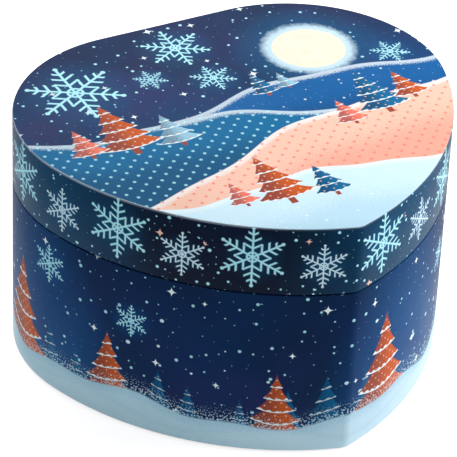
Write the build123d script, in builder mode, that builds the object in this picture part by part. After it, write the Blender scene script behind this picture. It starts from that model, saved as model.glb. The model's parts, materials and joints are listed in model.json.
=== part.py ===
# A wind-up music box: a heart-shaped board box covered in printed paper, with a hinged lid. A musical movement under
# a stage at the back turns a small fir-tree figurine, and is wound by a key in the back wall.
# Frame: millimetres, +Z up, the tip of the heart towards -Y. The origin is on the underside, level with the centres
# of the two lobes.
from build123d import *
from math import atan2, cos, degrees, pi, radians, sin, sqrt
import os

# Plan of the box: two round lobes on a straight back, whose flanks meet in a blunt tip
box_width = 160
back_half = 26          # half of the straight back, between the lobes
side_radius = 112
side_start = -17        # degrees, where a lobe runs into its flatter flank
tip_radius = 6
inner_tip_radius = 1    # least radius inside the tip

# Heights of the box
box_height = 94
lid_height = 26.8
seam_gap = 0.4

# Sheet stock
wall = 3.5
board = 3
paper = 0.3
felt = 0.8
lining = 1
glue = 0.1              # room for glue between nested pieces
paper_turn = 8          # how far the paper is turned over a board
felt_inset = 2.5
sheet_inset = 0.15
liner_drop = 1.5        # the lining stops short of the seam

# Lid panel and mirror
panel = 3.2
mirror_thickness = 2
mirror_inset = 20
mirror_lip = 1.6

# Stage over the movement, and the compartments
stage_wall = 2
deck = 2.5
stage_room = 3          # between the movement and the stage's walls
stage_headroom = 3      # between the movement and the deck
divider = 2
divider_height = 26

# Hinges, on the outside of the back
hinge_x = 15
hinge_length = 16
knuckle_radius = 1.9
hinge_pin_radius = 0.9
hinge_pin_head = 0.4
leaf = 0.8
leaf_height = 9
leaf_gap = 0.5          # between a leaf and the other leaf's knuckle
knuckle_gap = 0.3
hinge_clearance = 0.15
hinge_screw_x = 4.5
hinge_screw_rise = 5.8
hinge_screw_radius = 0.7
hinge_screw_head = 1.3
hinge_screw_length = 3.4

# Movement
running = 0.03          # radial clearance of a shaft in its bearing
seat = 0.02             # radial clearance of a wheel on its own shaft
clear = 0.4             # between neighbouring moving pieces
plate = 2
plate_margin = 1        # between the plate and the ends of the straight back
plate_rise = 19.5       # top of the plate above the winding arbor
bridge = 1.5
bearing_land = 3        # half width of a bridge round a bearing, in shaft radii
arbor_lift = 16.5       # winding arbor above the floor
arbor_radius = 1.6
movement_screw_inset = 5
movement_screw_rise = 14
movement_screw_drop = 13
movement_screw_radius = 1.2
movement_screw_head = 2.4
movement_screw_dome = 1.3

# Winding
ratchet_teeth = 18
ratchet_radius = 6
ratchet_depth = 0.9
ratchet_thickness = 1.2
click_pivot = (9, 7.2)
click_boss = 1.7
click_stud = 0.9
click_nose_angle = 80
click_nose_gap = 0.15
escutcheon_radius = 6
escutcheon_flange = 0.8
escutcheon_sleeve = 4
key_gap = 0.5
key_hub_radius = 3
key_hub_length = 7.5
key_wing_radius = 5.5
key_wing_eye = 2.2
key_wing_x = 8.2
key_wing_rise = 2.5     # wing centres beyond the middle of the hub
key_wing_thickness = 1.6

# Spring barrel with its crown wheel
barrel_radius = 12
barrel_length = 10
barrel_wall = 1
cap_thickness = 1.2
crown_radius = 12
crown_face = 1.5
crown_teeth = 48
spring_strip = 0.35
spring_turns = 7
spring_start = 2.6
spring_pitch = 1.1
spring_side_gap = 0.4

# Gear teeth, as shares of the module or of the circular pitch
addendum = 0.8
dedendum = 1.2
root_share = 0.29
pitch_share = 0.21
tip_share = 0.1
gear_module = 0.5
worm_module = 0.4

# Cylinder and comb
pinion_teeth = 28
drum_radius = 6
drum_length = 19
pin_radius = 0.2
pin_rise = 0.6
comb_teeth = 18
pins_per_tooth = 4
pin_turn = 137.5        # degrees from one pin to the next
spindle_radius = 1.5
pinion_hub = 2.6
wheel_teeth = 40
wheel_thickness = 1.2
wheel_gap = 1.25        # between the crown wheel and the wheel above it
comb_thickness = 0.9
comb_root = 6.5
comb_slot = 0.3
comb_tip_gap = 0.15
comb_long = 11          # free length of the lowest tooth
comb_short = 7.5
comb_screw_radius = 1
comb_screw_head = 1.8
comb_screw_rise = 1.1
comb_screw_spread = 12
comb_screw_depth = 4

# Governor and its air fan
governor_direction = 212    # degrees, from the cylinder to the governor's arbor
governor_pinion_teeth = 12
governor_pinion_thickness = 2
governor_arbor_radius = 1
worm_wheel_teeth = 26
worm_wheel_thickness = 1.2
worm_wheel_hub = 2
worm_wheel_rise = 1.5   # worm wheel above the winding arbor
worm_radius = 1.4       # at the pitch line
worm_length = 6.8
worm_root_share = 0.25
worm_tip_share = 0.09
worm_shaft_radius = 0.75
fan_radius = 6
fan_length = 6.2
fan_gap = 2.5           # between the worm and the fan
fan_hub = 1.6
fan_vane = 0.5
fan_room = 1.2          # between the fan and its bracket
bracket = 1.4
bracket_half = 4
bracket_foot = 7
bracket_screw_radius = 0.8
bracket_screw_head = 1.5
bracket_screw_rise = 0.8

# Stop wire, pressed by a striker in the lid
wire_radius = 0.8
wire_bend = 2
wire_set_back = 2.5     # from the lining of the back wall
stop_travel = 4
stop_gap = 0.3
eyelet_radius = 2.4
eyelet_sleeve = 1.6
eyelet_flange = 0.4
striker_half = 3.5
striker_depth = 5
striker_height = 12

# Figurine
bush_radius = 4.5
bush_sleeve = 3
bush_flange = 0.8
plinth_radius = 9
plinth_height = 3
tree_radius = 8.5
tree_tiers = 4
tree_taper = 4.5        # tiers to where the hems would meet
tree_trunk = 2
tree_trunk_height = 2.5
tree_tip = 0.9
tier_waist = 0.42       # a tier's top radius as a share of its hem
star_radius = 3
star_notch = 1.4        # radius at the notches between the points
star_points = 5
star_thickness = 1.6
star_stem = 1
figurine_headroom = 2.5

# Levels
floor_bottom = felt + paper
floor_top = floor_bottom + board
pad_top = floor_top + lining
lid_bottom = box_height - lid_height
base_top = lid_bottom - seam_gap
board_top = box_height - 2 * paper
board_bottom = board_top - board
panel_bottom = board_bottom - panel

# Insets of the nested outlines
wall_inset = paper + glue
wall_inner = wall_inset + wall
liner_inset = wall_inner + glue
liner_inner = liner_inset + lining
pad_inset = liner_inner + glue

# Lobes, and the centre of a flank's arc, for the flank at +X
lobe_radius = box_width / 2 - back_half
side_centre_x = back_half - (side_radius - lobe_radius) * cos(radians(side_start))
side_centre_y = -(side_radius - lobe_radius) * sin(radians(side_start))

# The movement is measured from the inside of the back wall, forward, and from the winding arbor
mount_y = lobe_radius - wall_inner
arbor_z = floor_top + arbor_lift
movement_plane = Plane(origin=(0, mount_y, arbor_z), x_dir=(1, 0, 0), z_dir=(0, -1, 0))
back_plane = Plane(origin=(0, lobe_radius, 0), x_dir=(1, 0, 0), z_dir=(0, -1, 0))
lining_y = lobe_radius - liner_inner
plate_half = back_half - plate_margin
screw_x = plate_half - movement_screw_inset
movement_screw_spots = [(-screw_x, movement_screw_rise), (screw_x, movement_screw_rise), (0, -movement_screw_drop)]

ratchet_at = plate + clear
barrel_at = ratchet_at + ratchet_thickness + clear
cap_at = barrel_at + barrel_length
crown_at = cap_at + cap_thickness
crown_height = (addendum + dedendum) * gear_module
pinion_radius = gear_module * pinion_teeth / 2
cylinder_y = mount_y - crown_at - dedendum * gear_module - pinion_radius
crown_reach = crown_radius + crown_face / 2
wheel_z = arbor_z + crown_reach + wheel_gap
top_bridge_z = wheel_z + wheel_thickness + 2 * clear
bridge_z = floor_top + clear
stage_under = top_bridge_z + bridge + stage_headroom
stage_top = stage_under + deck
stage_half = plate_half + stage_room + stage_wall

governor_reach = gear_module * (wheel_teeth + governor_pinion_teeth) / 2
governor_x = governor_reach * cos(radians(governor_direction))
governor_y = cylinder_y + governor_reach * sin(radians(governor_direction))
worm_wheel_radius = worm_module * worm_wheel_teeth / 2
worm_x = governor_x - worm_wheel_radius - worm_radius
worm_z = arbor_z + worm_wheel_rise
worm_pitch = pi * worm_module
worm_start = governor_y - worm_length / 2
fan_start = governor_y + worm_length / 2 + fan_gap
bracket_front = worm_start - clear - bracket
bracket_back = fan_start + fan_length + fan_room
bracket_x = worm_x - fan_radius - fan_room
stage_front = bracket_front - stage_room - stage_wall
bridge_depth = mount_y - governor_y + bearing_land * governor_arbor_radius
bridge_left = governor_x - bearing_land * governor_arbor_radius
bridge_right = bearing_land * spindle_radius

hinge_y = lobe_radius + knuckle_radius + hinge_clearance
hinge_z = (lid_bottom + base_top) / 2
stop_y = lining_y - wire_set_back
stop_top = lid_bottom
wire_foot = worm_z + fan_radius + stop_gap
wire_run = stage_under - stop_travel - wire_bend - clear
wire_foot_y = fan_start + fan_length / 2

stage_felt_top = stage_top + felt
plinth_bottom = stage_felt_top + bush_flange + clear
plinth_top = plinth_bottom + plinth_height
star_height = star_stem + 2 * star_radius
tree_top = panel_bottom - figurine_headroom - star_height


def heart_face(inset):
    lobe = lobe_radius - inset
    flank = side_radius - inset
    tip = max(tip_radius - inset, inner_tip_radius)
    tip_y = side_centre_y - sqrt((flank - tip) ** 2 - side_centre_x ** 2)
    tip_start = degrees(atan2(tip_y - side_centre_y, -side_centre_x))
    with BuildSketch() as face:
        with BuildLine():
            Line((0, lobe), (back_half, lobe))
            CenterArc((back_half, 0), lobe, 90, side_start - 90)
            CenterArc((side_centre_x, side_centre_y), flank, side_start, tip_start - side_start)
            CenterArc((0, tip_y), tip, tip_start, -90 - tip_start)
            mirror(about=Plane.YZ)
        make_face()
    return face.sketch


def heart_ring(outer, inner):
    with BuildSketch() as face:
        add(heart_face(outer))
        add(heart_face(inner), mode=Mode.SUBTRACT)
    return face.sketch


def gear_face(module, teeth, first_tooth, bore):
    circular_pitch = pi * module
    pitch_line = module * teeth / 2
    root = pitch_line - dedendum * module
    foot = root - module / 2
    tip = pitch_line + addendum * module
    with BuildSketch() as face:
        Circle(root)
        with PolarLocations(0, teeth, first_tooth):
            Polygon(
                (foot, -root_share * circular_pitch),
                (pitch_line, -pitch_share * circular_pitch),
                (tip, -tip_share * circular_pitch),
                (tip, tip_share * circular_pitch),
                (pitch_line, pitch_share * circular_pitch),
                (foot, root_share * circular_pitch),
            )
        Circle(bore, mode=Mode.SUBTRACT)
    return face.sketch


def shaft_plane(x, y, z):
    return Plane(origin=(x, y, z))


# Holes through the back of the base: the key's escutcheon, the movement's screws and the hinges' screws
with BuildSketch(back_plane) as base_back_holes:
    with Locations((0, arbor_z)):
        Circle(escutcheon_sleeve + glue)
        with Locations(*movement_screw_spots):
            Circle(movement_screw_radius + glue)
    with Locations((-hinge_x, hinge_z - hinge_screw_rise), (hinge_x, hinge_z - hinge_screw_rise)):
        with GridLocations(2 * hinge_screw_x, 0, 2, 1):
            Circle(hinge_screw_radius + seat)

with BuildSketch(back_plane) as lid_back_holes:
    with Locations((-hinge_x, hinge_z + hinge_screw_rise), (hinge_x, hinge_z + hinge_screw_rise)):
        with GridLocations(2 * hinge_screw_x, 0, 2, 1):
            Circle(hinge_screw_radius + seat)

# Base of the case
with BuildPart() as base_felt:
    with BuildSketch():
        add(heart_face(felt_inset))
    extrude(amount=felt)

with BuildPart() as base_floor:
    with BuildSketch(Plane.XY.offset(floor_bottom)):
        add(heart_face(wall_inner + glue))
    extrude(amount=board)

with BuildPart() as base_wall:
    with BuildSketch(Plane.XY.offset(floor_bottom)):
        add(heart_ring(wall_inset, wall_inner))
    extrude(amount=base_top - paper - floor_bottom)
    extrude(base_back_holes.sketch, amount=wall_inner, mode=Mode.SUBTRACT)

# Printed paper on the base: turned under the floor's edge and over the top of the wall
with BuildPart() as base_wrap:
    with BuildSketch(Plane.XY.offset(felt)):
        add(heart_face(0))
    extrude(amount=base_top - felt)
    with BuildSketch(Plane.XY.offset(floor_bottom)):
        add(heart_face(paper))
    extrude(amount=base_top - paper - floor_bottom, mode=Mode.SUBTRACT)
    with BuildSketch(Plane.XY.offset(felt)):
        add(heart_face(paper_turn))
    extrude(amount=paper, mode=Mode.SUBTRACT)
    with BuildSketch(Plane.XY.offset(base_top - paper)):
        add(heart_face(wall_inner))
    extrude(amount=paper, mode=Mode.SUBTRACT)
    extrude(base_back_holes.sketch, amount=wall_inset, mode=Mode.SUBTRACT)

# Stage: a lined board box over the movement, open at the back and below
with BuildPart() as stage_cover:
    with BuildSketch(Plane.XY.offset(floor_top)):
        add(heart_face(wall_inner + glue))
        with Locations((0, stage_front)):
            Rectangle(2 * stage_half, box_width, align=(Align.CENTER, Align.MIN), mode=Mode.INTERSECT)
    extrude(amount=stage_top - floor_top)
    with BuildSketch(Plane.XY.offset(floor_top)):
        with Locations((0, stage_front + stage_wall)):
            Rectangle(2 * (stage_half - stage_wall), box_width, align=(Align.CENTER, Align.MIN))
    extrude(amount=stage_under - floor_top, mode=Mode.SUBTRACT)
    with BuildSketch(Plane.XY.offset(stage_under)):
        with Locations((0, cylinder_y)):
            Circle(bush_sleeve + glue)
        with Locations((worm_x, stop_y)):
            Circle(eyelet_sleeve + glue)
    extrude(amount=deck, mode=Mode.SUBTRACT)

with BuildPart() as stage_felt:
    with BuildSketch(Plane.XY.offset(stage_top)):
        add(heart_face(pad_inset))
        with Locations((0, stage_front)):
            Rectangle(2 * stage_half, box_width, align=(Align.CENTER, Align.MIN), mode=Mode.INTERSECT)
        with Locations((0, cylinder_y)):
            Circle(bush_sleeve + glue, mode=Mode.SUBTRACT)
        with Locations((worm_x, stop_y)):
            Circle(eyelet_sleeve + glue, mode=Mode.SUBTRACT)
    extrude(amount=felt)

with BuildPart() as base_liner:
    with BuildSketch(Plane.XY.offset(floor_top)):
        add(heart_ring(liner_inset, liner_inner))
    extrude(amount=base_top - liner_drop - floor_top)
    with BuildSketch(Plane.XY.offset(floor_top)):
        with Locations((0, stage_front - glue)):
            Rectangle(2 * (stage_half + glue), box_width, align=(Align.CENTER, Align.MIN))
    extrude(amount=stage_top + glue - floor_top, mode=Mode.SUBTRACT)

with BuildPart() as floor_pad:
    with BuildSketch(Plane.XY.offset(floor_top)):
        add(heart_face(pad_inset))
        with Locations((0, stage_front - glue)):
            Rectangle(2 * (stage_half + glue), box_width, align=(Align.CENTER, Align.MIN), mode=Mode.SUBTRACT)
    extrude(amount=lining)

# A divider closes off each lobe, in line with the front of the stage
with BuildPart() as divider_right:
    with BuildSketch(Plane.XY.offset(pad_top)):
        add(heart_face(pad_inset))
        with Locations((stage_half + glue, stage_front)):
            Rectangle(box_width, divider, align=(Align.MIN, Align.MIN), mode=Mode.INTERSECT)
    extrude(amount=divider_height)

with BuildPart() as divider_left:
    add(divider_right.part)
    mirror(about=Plane.YZ, mode=Mode.REPLACE)

# Lid
with BuildPart() as lid_wall:
    with BuildSketch(Plane.XY.offset(lid_bottom + paper)):
        add(heart_ring(wall_inset, wall_inner))
    extrude(amount=board_bottom - lid_bottom - paper)
    extrude(lid_back_holes.sketch, amount=wall_inner, mode=Mode.SUBTRACT)

with BuildPart() as lid_board:
    with BuildSketch(Plane.XY.offset(board_bottom)):
        add(heart_face(wall_inset))
    extrude(amount=board)

with BuildPart() as lid_wrap:
    with BuildSketch(Plane.XY.offset(lid_bottom)):
        add(heart_face(0))
    extrude(amount=box_height - paper - lid_bottom)
    with BuildSketch(Plane.XY.offset(lid_bottom + paper)):
        add(heart_face(paper))
    extrude(amount=board_top - lid_bottom - paper, mode=Mode.SUBTRACT)
    with BuildSketch(Plane.XY.offset(lid_bottom)):
        add(heart_face(wall_inner))
    extrude(amount=paper, mode=Mode.SUBTRACT)
    with BuildSketch(Plane.XY.offset(board_top)):
        add(heart_face(paper_turn))
    extrude(amount=paper, mode=Mode.SUBTRACT)
    extrude(lid_back_holes.sketch, amount=wall_inset, mode=Mode.SUBTRACT)

with BuildPart() as lid_sheet:
    with BuildSketch(Plane.XY.offset(box_height - paper)):
        add(heart_face(sheet_inset))
    extrude(amount=paper)

with BuildPart() as lid_side_lining:
    with BuildSketch(Plane.XY.offset(lid_bottom + liner_drop)):
        add(heart_ring(liner_inset, liner_inner))
    extrude(amount=panel_bottom - lid_bottom - liner_drop)

# The panel holds the mirror against the board, behind a narrow lip
with BuildPart() as lid_panel:
    with BuildSketch(Plane.XY.offset(panel_bottom)):
        add(heart_face(liner_inset))
    extrude(amount=panel)
    with BuildSketch(Plane.XY.offset(board_bottom - mirror_thickness)):
        add(heart_face(mirror_inset))
    extrude(amount=mirror_thickness, mode=Mode.SUBTRACT)
    with BuildSketch(Plane.XY.offset(panel_bottom)):
        add(heart_face(mirror_inset + mirror_lip))
    extrude(amount=panel - mirror_thickness, mode=Mode.SUBTRACT)

with BuildPart() as lid_mirror:
    with BuildSketch(Plane.XY.offset(board_bottom - mirror_thickness)):
        add(heart_face(mirror_inset + glue))
    extrude(amount=mirror_thickness)

with BuildPart() as stop_striker:
    with BuildSketch(Plane.XY.offset(lid_bottom + stop_gap)):
        with Locations((worm_x, lining_y)):
            Rectangle(2 * striker_half, striker_depth, align=(Align.CENTER, Align.MAX))
    extrude(amount=striker_height)


# A hinge leaf lies on the back, and side is 1 for the lid's leaf above the pin and -1 for the base's leaf below it
def hinge_leaf(hinge_centre, side, knuckles):
    plate_start = knuckle_radius + leaf_gap
    axis_plane = Plane(origin=(hinge_centre, hinge_y, hinge_z), x_dir=(0, 1, 0), z_dir=(1, 0, 0))
    with BuildPart() as piece:
        with BuildSketch(back_plane):
            with Locations((hinge_centre, hinge_z + side * (plate_start + leaf_height) / 2)):
                Rectangle(hinge_length, leaf_height - plate_start)
            for start, length in knuckles:
                with Locations((hinge_centre + start + length / 2, hinge_z + side * plate_start / 2)):
                    Rectangle(length, plate_start)
        extrude(amount=-leaf)
        for start, length in knuckles:
            with BuildSketch(axis_plane.offset(start)):
                Circle(knuckle_radius)
            extrude(amount=length)
        with BuildSketch(axis_plane.offset(-hinge_length / 2)):
            Circle(hinge_pin_radius + running)
        extrude(amount=hinge_length, mode=Mode.SUBTRACT)
        with BuildSketch(back_plane):
            with Locations((hinge_centre, hinge_z + side * hinge_screw_rise)):
                with GridLocations(2 * hinge_screw_x, 0, 2, 1):
                    Circle(hinge_screw_radius + seat)
        extrude(amount=-leaf, mode=Mode.SUBTRACT)
    return piece


def hinge_pin(hinge_centre):
    pin_length = hinge_length + 2 * hinge_pin_head
    with BuildPart(Plane(origin=(hinge_centre, hinge_y, hinge_z), z_dir=(1, 0, 0))) as piece:
        Cylinder(hinge_pin_radius, pin_length)
    return piece


# Round-headed screw, drawn pointing along the plane's Z axis from under its head
def round_screw(plane, radius, length, head, rise):
    with BuildPart(plane) as piece:
        Cylinder(radius, length, align=(Align.CENTER, Align.CENTER, Align.MIN))
        Cylinder(head, rise, align=(Align.CENTER, Align.CENTER, Align.MAX))
        fillet(piece.faces().sort_by(Axis(plane.origin, plane.z_dir))[0].edges(), rise / 2)
    return piece.part


hinge_third = (hinge_length - 2 * knuckle_gap) / 3
outer_knuckles = [(-hinge_length / 2, hinge_third), (hinge_length / 2 - hinge_third, hinge_third)]
middle_knuckle = [(-hinge_third / 2, hinge_third)]

hinge_lid_leaf_left = hinge_leaf(-hinge_x, 1, outer_knuckles)
hinge_lid_leaf_right = hinge_leaf(hinge_x, 1, outer_knuckles)
hinge_base_leaf_left = hinge_leaf(-hinge_x, -1, middle_knuckle)
hinge_base_leaf_right = hinge_leaf(hinge_x, -1, middle_knuckle)
hinge_pin_left = hinge_pin(-hinge_x)
hinge_pin_right = hinge_pin(hinge_x)


def hinge_screws(side):
    with BuildPart() as piece:
        for hinge_centre in (-hinge_x, hinge_x):
            for offset_x in (-hinge_screw_x, hinge_screw_x):
                spot = (hinge_centre + offset_x, lobe_radius + leaf, hinge_z + side * hinge_screw_rise)
                screw_plane = Plane(origin=spot, x_dir=(1, 0, 0), z_dir=(0, -1, 0))
                add(round_screw(screw_plane, hinge_screw_radius, hinge_screw_length, hinge_screw_head,
                                hinge_screw_head / 2))
    return piece


hinge_lid_screws = hinge_screws(1)
hinge_base_screws = hinge_screws(-1)

# Frame of the movement: a back plate with a bridge above and below for the upright arbors
with BuildPart() as movement_frame:
    with BuildSketch(movement_plane):
        with Locations((0, bridge_z - arbor_z)):
            Rectangle(2 * plate_half, plate_rise + arbor_z - bridge_z, align=(Align.CENTER, Align.MIN))
        Circle(arbor_radius + running, mode=Mode.SUBTRACT)
        with Locations(*movement_screw_spots):
            Circle(movement_screw_radius + seat, mode=Mode.SUBTRACT)
        with Locations((bracket_x + bracket_foot / 2, worm_wheel_rise)):
            Circle(bracket_screw_radius + seat, mode=Mode.SUBTRACT)
    extrude(amount=plate)
    with BuildSketch(movement_plane.offset(plate)):
        with Locations(click_pivot):
            Circle(click_stud)
    extrude(amount=clear + ratchet_thickness)
    for level in (bridge_z, top_bridge_z):
        with BuildSketch(Plane.XY.offset(level)):
            with Locations((bridge_left, mount_y)):
                Rectangle(bridge_right - bridge_left, bridge_depth, align=(Align.MIN, Align.MAX))
            with Locations((0, cylinder_y)):
                Circle(spindle_radius + running, mode=Mode.SUBTRACT)
            with Locations((governor_x, governor_y)):
                Circle(governor_arbor_radius + running, mode=Mode.SUBTRACT)
        extrude(amount=bridge)

with BuildPart() as movement_screws:
    for spot_x, spot_z in movement_screw_spots:
        screw_plane = Plane(origin=(spot_x, lobe_radius, arbor_z + spot_z), x_dir=(1, 0, 0), z_dir=(0, -1, 0))
        add(round_screw(screw_plane, movement_screw_radius, wall_inner + plate, movement_screw_head,
                        movement_screw_dome))

with BuildPart() as key_escutcheon:
    with BuildSketch(back_plane):
        with Locations((0, arbor_z)):
            Circle(escutcheon_radius)
    extrude(amount=-escutcheon_flange)
    fillet(key_escutcheon.faces().sort_by(Axis.Y)[-1].edges(), escutcheon_flange / 2)
    with BuildSketch(back_plane):
        with Locations((0, arbor_z)):
            Circle(escutcheon_sleeve)
    extrude(amount=wall_inner)
    with BuildSketch(back_plane.offset(-escutcheon_flange)):
        with Locations((0, arbor_z)):
            Circle(arbor_radius + clear)
    extrude(amount=wall_inner + escutcheon_flange, mode=Mode.SUBTRACT)

# Winding arbor with its ratchet wheel and key
key_at = wall_inner + escutcheon_flange + key_gap

with BuildPart() as winding_arbor:
    with BuildSketch(movement_plane.offset(-key_at - key_hub_length + clear)):
        Circle(arbor_radius)
    extrude(amount=key_at + key_hub_length - clear + crown_at)

with BuildPart() as ratchet_wheel:
    tooth_turn = radians(360 / ratchet_teeth)
    ratchet_root = ratchet_radius - ratchet_depth
    with BuildSketch(movement_plane.offset(ratchet_at)):
        Circle(ratchet_root)
        with PolarLocations(0, ratchet_teeth):
            Polygon(
                (arbor_radius, 0),
                (ratchet_radius, 0),
                (ratchet_root * cos(tooth_turn), ratchet_root * sin(tooth_turn)),
            )
        Circle(arbor_radius + seat, mode=Mode.SUBTRACT)
    extrude(amount=ratchet_thickness)

# Sprung pawl, drawn just clear of the ratchet's teeth
with BuildPart() as click:
    nose_radius = ratchet_radius + click_nose_gap
    nose = (nose_radius * cos(radians(click_nose_angle)), nose_radius * sin(radians(click_nose_angle)))
    with BuildSketch(movement_plane.offset(ratchet_at)):
        with Locations(click_pivot):
            Circle(click_boss)
        Polygon(
            nose,
            (click_pivot[0], click_pivot[1] - click_boss),
            (click_pivot[0], click_pivot[1] + click_boss),
            (nose[0], nose[1] + click_boss / 2),
        )
        with Locations(click_pivot):
            Circle(click_stud + running, mode=Mode.SUBTRACT)
    extrude(amount=ratchet_thickness)

with BuildPart() as winding_key:
    key_y = mount_y + key_at
    wing_y = key_y + key_hub_length / 2 + key_wing_rise
    with BuildSketch(Plane.XY.offset(arbor_z - key_wing_thickness / 2)):
        with Locations((key_wing_x, wing_y), (-key_wing_x, wing_y)):
            Circle(key_wing_radius)
        with Locations((0, wing_y)):
            Rectangle(2 * key_wing_x, key_wing_radius)
        with Locations((key_wing_x, wing_y), (-key_wing_x, wing_y)):
            Circle(key_wing_eye, mode=Mode.SUBTRACT)
    extrude(amount=key_wing_thickness)
    fillet(winding_key.edges().group_by(Axis.Z)[0], key_wing_thickness / 3)
    fillet(winding_key.edges().group_by(Axis.Z)[-1], key_wing_thickness / 3)
    with BuildSketch(movement_plane.offset(-key_at)):
        Circle(key_hub_radius)
    extrude(amount=-key_hub_length)
    with BuildSketch(movement_plane.offset(-key_at)):
        Circle(arbor_radius + seat)
    extrude(amount=-key_hub_length, mode=Mode.SUBTRACT)

# Spring barrel, its cap with the crown wheel's teeth, and the mainspring
with BuildPart() as spring_barrel:
    with BuildSketch(movement_plane.offset(barrel_at)):
        Circle(barrel_radius)
    extrude(amount=barrel_length)
    with BuildSketch(movement_plane.offset(barrel_at + barrel_wall)):
        Circle(barrel_radius - barrel_wall)
    extrude(amount=barrel_length - barrel_wall, mode=Mode.SUBTRACT)
    with BuildSketch(movement_plane.offset(barrel_at)):
        Circle(arbor_radius + running)
    extrude(amount=barrel_wall, mode=Mode.SUBTRACT)

crown_pitch = 2 * pi * crown_radius / crown_teeth
with BuildPart() as crown_tooth:
    inner_end = Plane(origin=(crown_radius - crown_face / 2, 0, 0), x_dir=(0, 1, 0), z_dir=(1, 0, 0))
    with BuildSketch(inner_end):
        Polygon(
            (-root_share * crown_pitch, -cap_thickness / 2),
            (-tip_share * crown_pitch, crown_height),
            (tip_share * crown_pitch, crown_height),
            (root_share * crown_pitch, -cap_thickness / 2),
        )
    extrude(amount=crown_face)

with BuildPart(movement_plane.offset(crown_at)) as barrel_cap:
    Cylinder(crown_reach, cap_thickness, align=(Align.CENTER, Align.CENTER, Align.MAX))
    with PolarLocations(0, crown_teeth, 90 + 180 / crown_teeth):
        add(crown_tooth.part)
    Cylinder(arbor_radius + running, 2 * cap_thickness, mode=Mode.SUBTRACT)


# A two-centre spiral: each half turn is half a ring, a half pitch wider than the one before
def spring_half_turn(half_turn):
    inner_radius = spring_start + spring_pitch / 2 * half_turn
    half_side = Align.MIN if half_turn % 2 == 0 else Align.MAX
    with BuildSketch() as face:
        with Locations((spring_pitch / 2 * (half_turn % 2), 0)):
            Circle(inner_radius + spring_strip)
            Circle(inner_radius, mode=Mode.SUBTRACT)
            Rectangle(3 * barrel_radius, 3 * barrel_radius, align=(Align.CENTER, half_side), mode=Mode.INTERSECT)
    return face.sketch


with BuildPart() as mainspring:
    with BuildSketch(movement_plane.offset(barrel_at + barrel_wall + spring_side_gap)):
        for half_turn in range(2 * spring_turns):
            add(spring_half_turn(half_turn))
    extrude(amount=barrel_length - barrel_wall - 2 * spring_side_gap)

# Pinned cylinder on an arbor that runs up through the stage as the figurine's spindle
with BuildPart() as cylinder_arbor:
    with BuildSketch(Plane.XY.offset(bridge_z)):
        with Locations((0, cylinder_y)):
            Circle(spindle_radius)
    extrude(amount=plinth_top - clear - bridge_z)

drum_bottom = arbor_z - drum_length / 2
tooth_pitch = drum_length / (comb_teeth + 1)
pin_spots = []
for pin_index in range(comb_teeth * pins_per_tooth):
    pin_angle = radians(pin_index * pin_turn)
    pin_level = drum_bottom + tooth_pitch * (1 + pin_index % comb_teeth)
    outward = (cos(pin_angle), sin(pin_angle), 0)
    foot_radius = drum_radius - pin_rise
    pin_foot = (foot_radius * outward[0], cylinder_y + foot_radius * outward[1], pin_level)
    pin_spots.append(Plane(origin=pin_foot, x_dir=(0, 0, 1), z_dir=outward))

with BuildPart() as cylinder_drum:
    with BuildSketch(Plane.XY.offset(drum_bottom)):
        with Locations((0, cylinder_y)):
            Circle(drum_radius)
            Circle(spindle_radius + seat, mode=Mode.SUBTRACT)
    extrude(amount=drum_length)
    with Locations(*pin_spots):
        Cylinder(pin_radius, 2 * pin_rise, align=(Align.CENTER, Align.CENTER, Align.MIN))

with BuildPart() as cylinder_pinion:
    with BuildSketch(shaft_plane(0, cylinder_y, arbor_z + crown_radius - crown_face / 2)):
        add(gear_face(gear_module, pinion_teeth, 90, spindle_radius + seat))
    extrude(amount=crown_face)
    with BuildSketch(shaft_plane(0, cylinder_y, drum_bottom + drum_length)):
        Circle(pinion_hub)
        Circle(spindle_radius + seat, mode=Mode.SUBTRACT)
    extrude(amount=wheel_z - drum_bottom - drum_length)

with BuildPart() as cylinder_wheel:
    with BuildSketch(shaft_plane(0, cylinder_y, wheel_z)):
        add(gear_face(gear_module, wheel_teeth, governor_direction + 180 / wheel_teeth, spindle_radius + seat))
    extrude(amount=wheel_thickness)

# Comb: steel teeth of graded length, screwed to a brass block
comb_tip_x = drum_radius + pin_rise + comb_tip_gap
comb_y = cylinder_y + comb_thickness / 2

with BuildPart() as comb:
    with BuildSketch(Plane(origin=(0, comb_y, 0), x_dir=(1, 0, 0), z_dir=(0, -1, 0))):
        with Locations((comb_tip_x, arbor_z)):
            Rectangle(plate_half - comb_tip_x, drum_length, align=(Align.MIN, Align.CENTER))
        for slot_index in range(comb_teeth - 1):
            slot_z = drum_bottom + tooth_pitch * (1.5 + slot_index)
            slot_end = comb_long - (comb_long - comb_short) * slot_index / (comb_teeth - 2)
            with Locations((comb_tip_x, slot_z)):
                Rectangle(slot_end, comb_slot, align=(Align.MIN, Align.CENTER), mode=Mode.SUBTRACT)
        with Locations((plate_half - comb_root / 2, arbor_z)):
            with GridLocations(0, comb_screw_spread, 1, 2):
                Circle(comb_screw_radius + seat, mode=Mode.SUBTRACT)
    extrude(amount=comb_thickness)

with BuildPart() as comb_base:
    with BuildSketch(movement_plane.offset(plate)):
        with Locations((plate_half - comb_root / 2, 0)):
            Rectangle(comb_root, drum_length)
    extrude(amount=mount_y - plate - comb_y)
    with BuildSketch(Plane(origin=(0, comb_y, 0), x_dir=(1, 0, 0), z_dir=(0, -1, 0))):
        with Locations((plate_half - comb_root / 2, arbor_z)):
            with GridLocations(0, comb_screw_spread, 1, 2):
                Circle(comb_screw_radius + seat)
    extrude(amount=-comb_screw_depth - clear, mode=Mode.SUBTRACT)

with BuildPart() as comb_screws:
    for level in (-comb_screw_spread / 2, comb_screw_spread / 2):
        spot = (plate_half - comb_root / 2, comb_y - comb_thickness, arbor_z + level)
        screw_plane = Plane(origin=spot, x_dir=(1, 0, 0), z_dir=(0, 1, 0))
        add(round_screw(screw_plane, comb_screw_radius, comb_thickness + comb_screw_depth, comb_screw_head,
                        comb_screw_rise))

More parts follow.
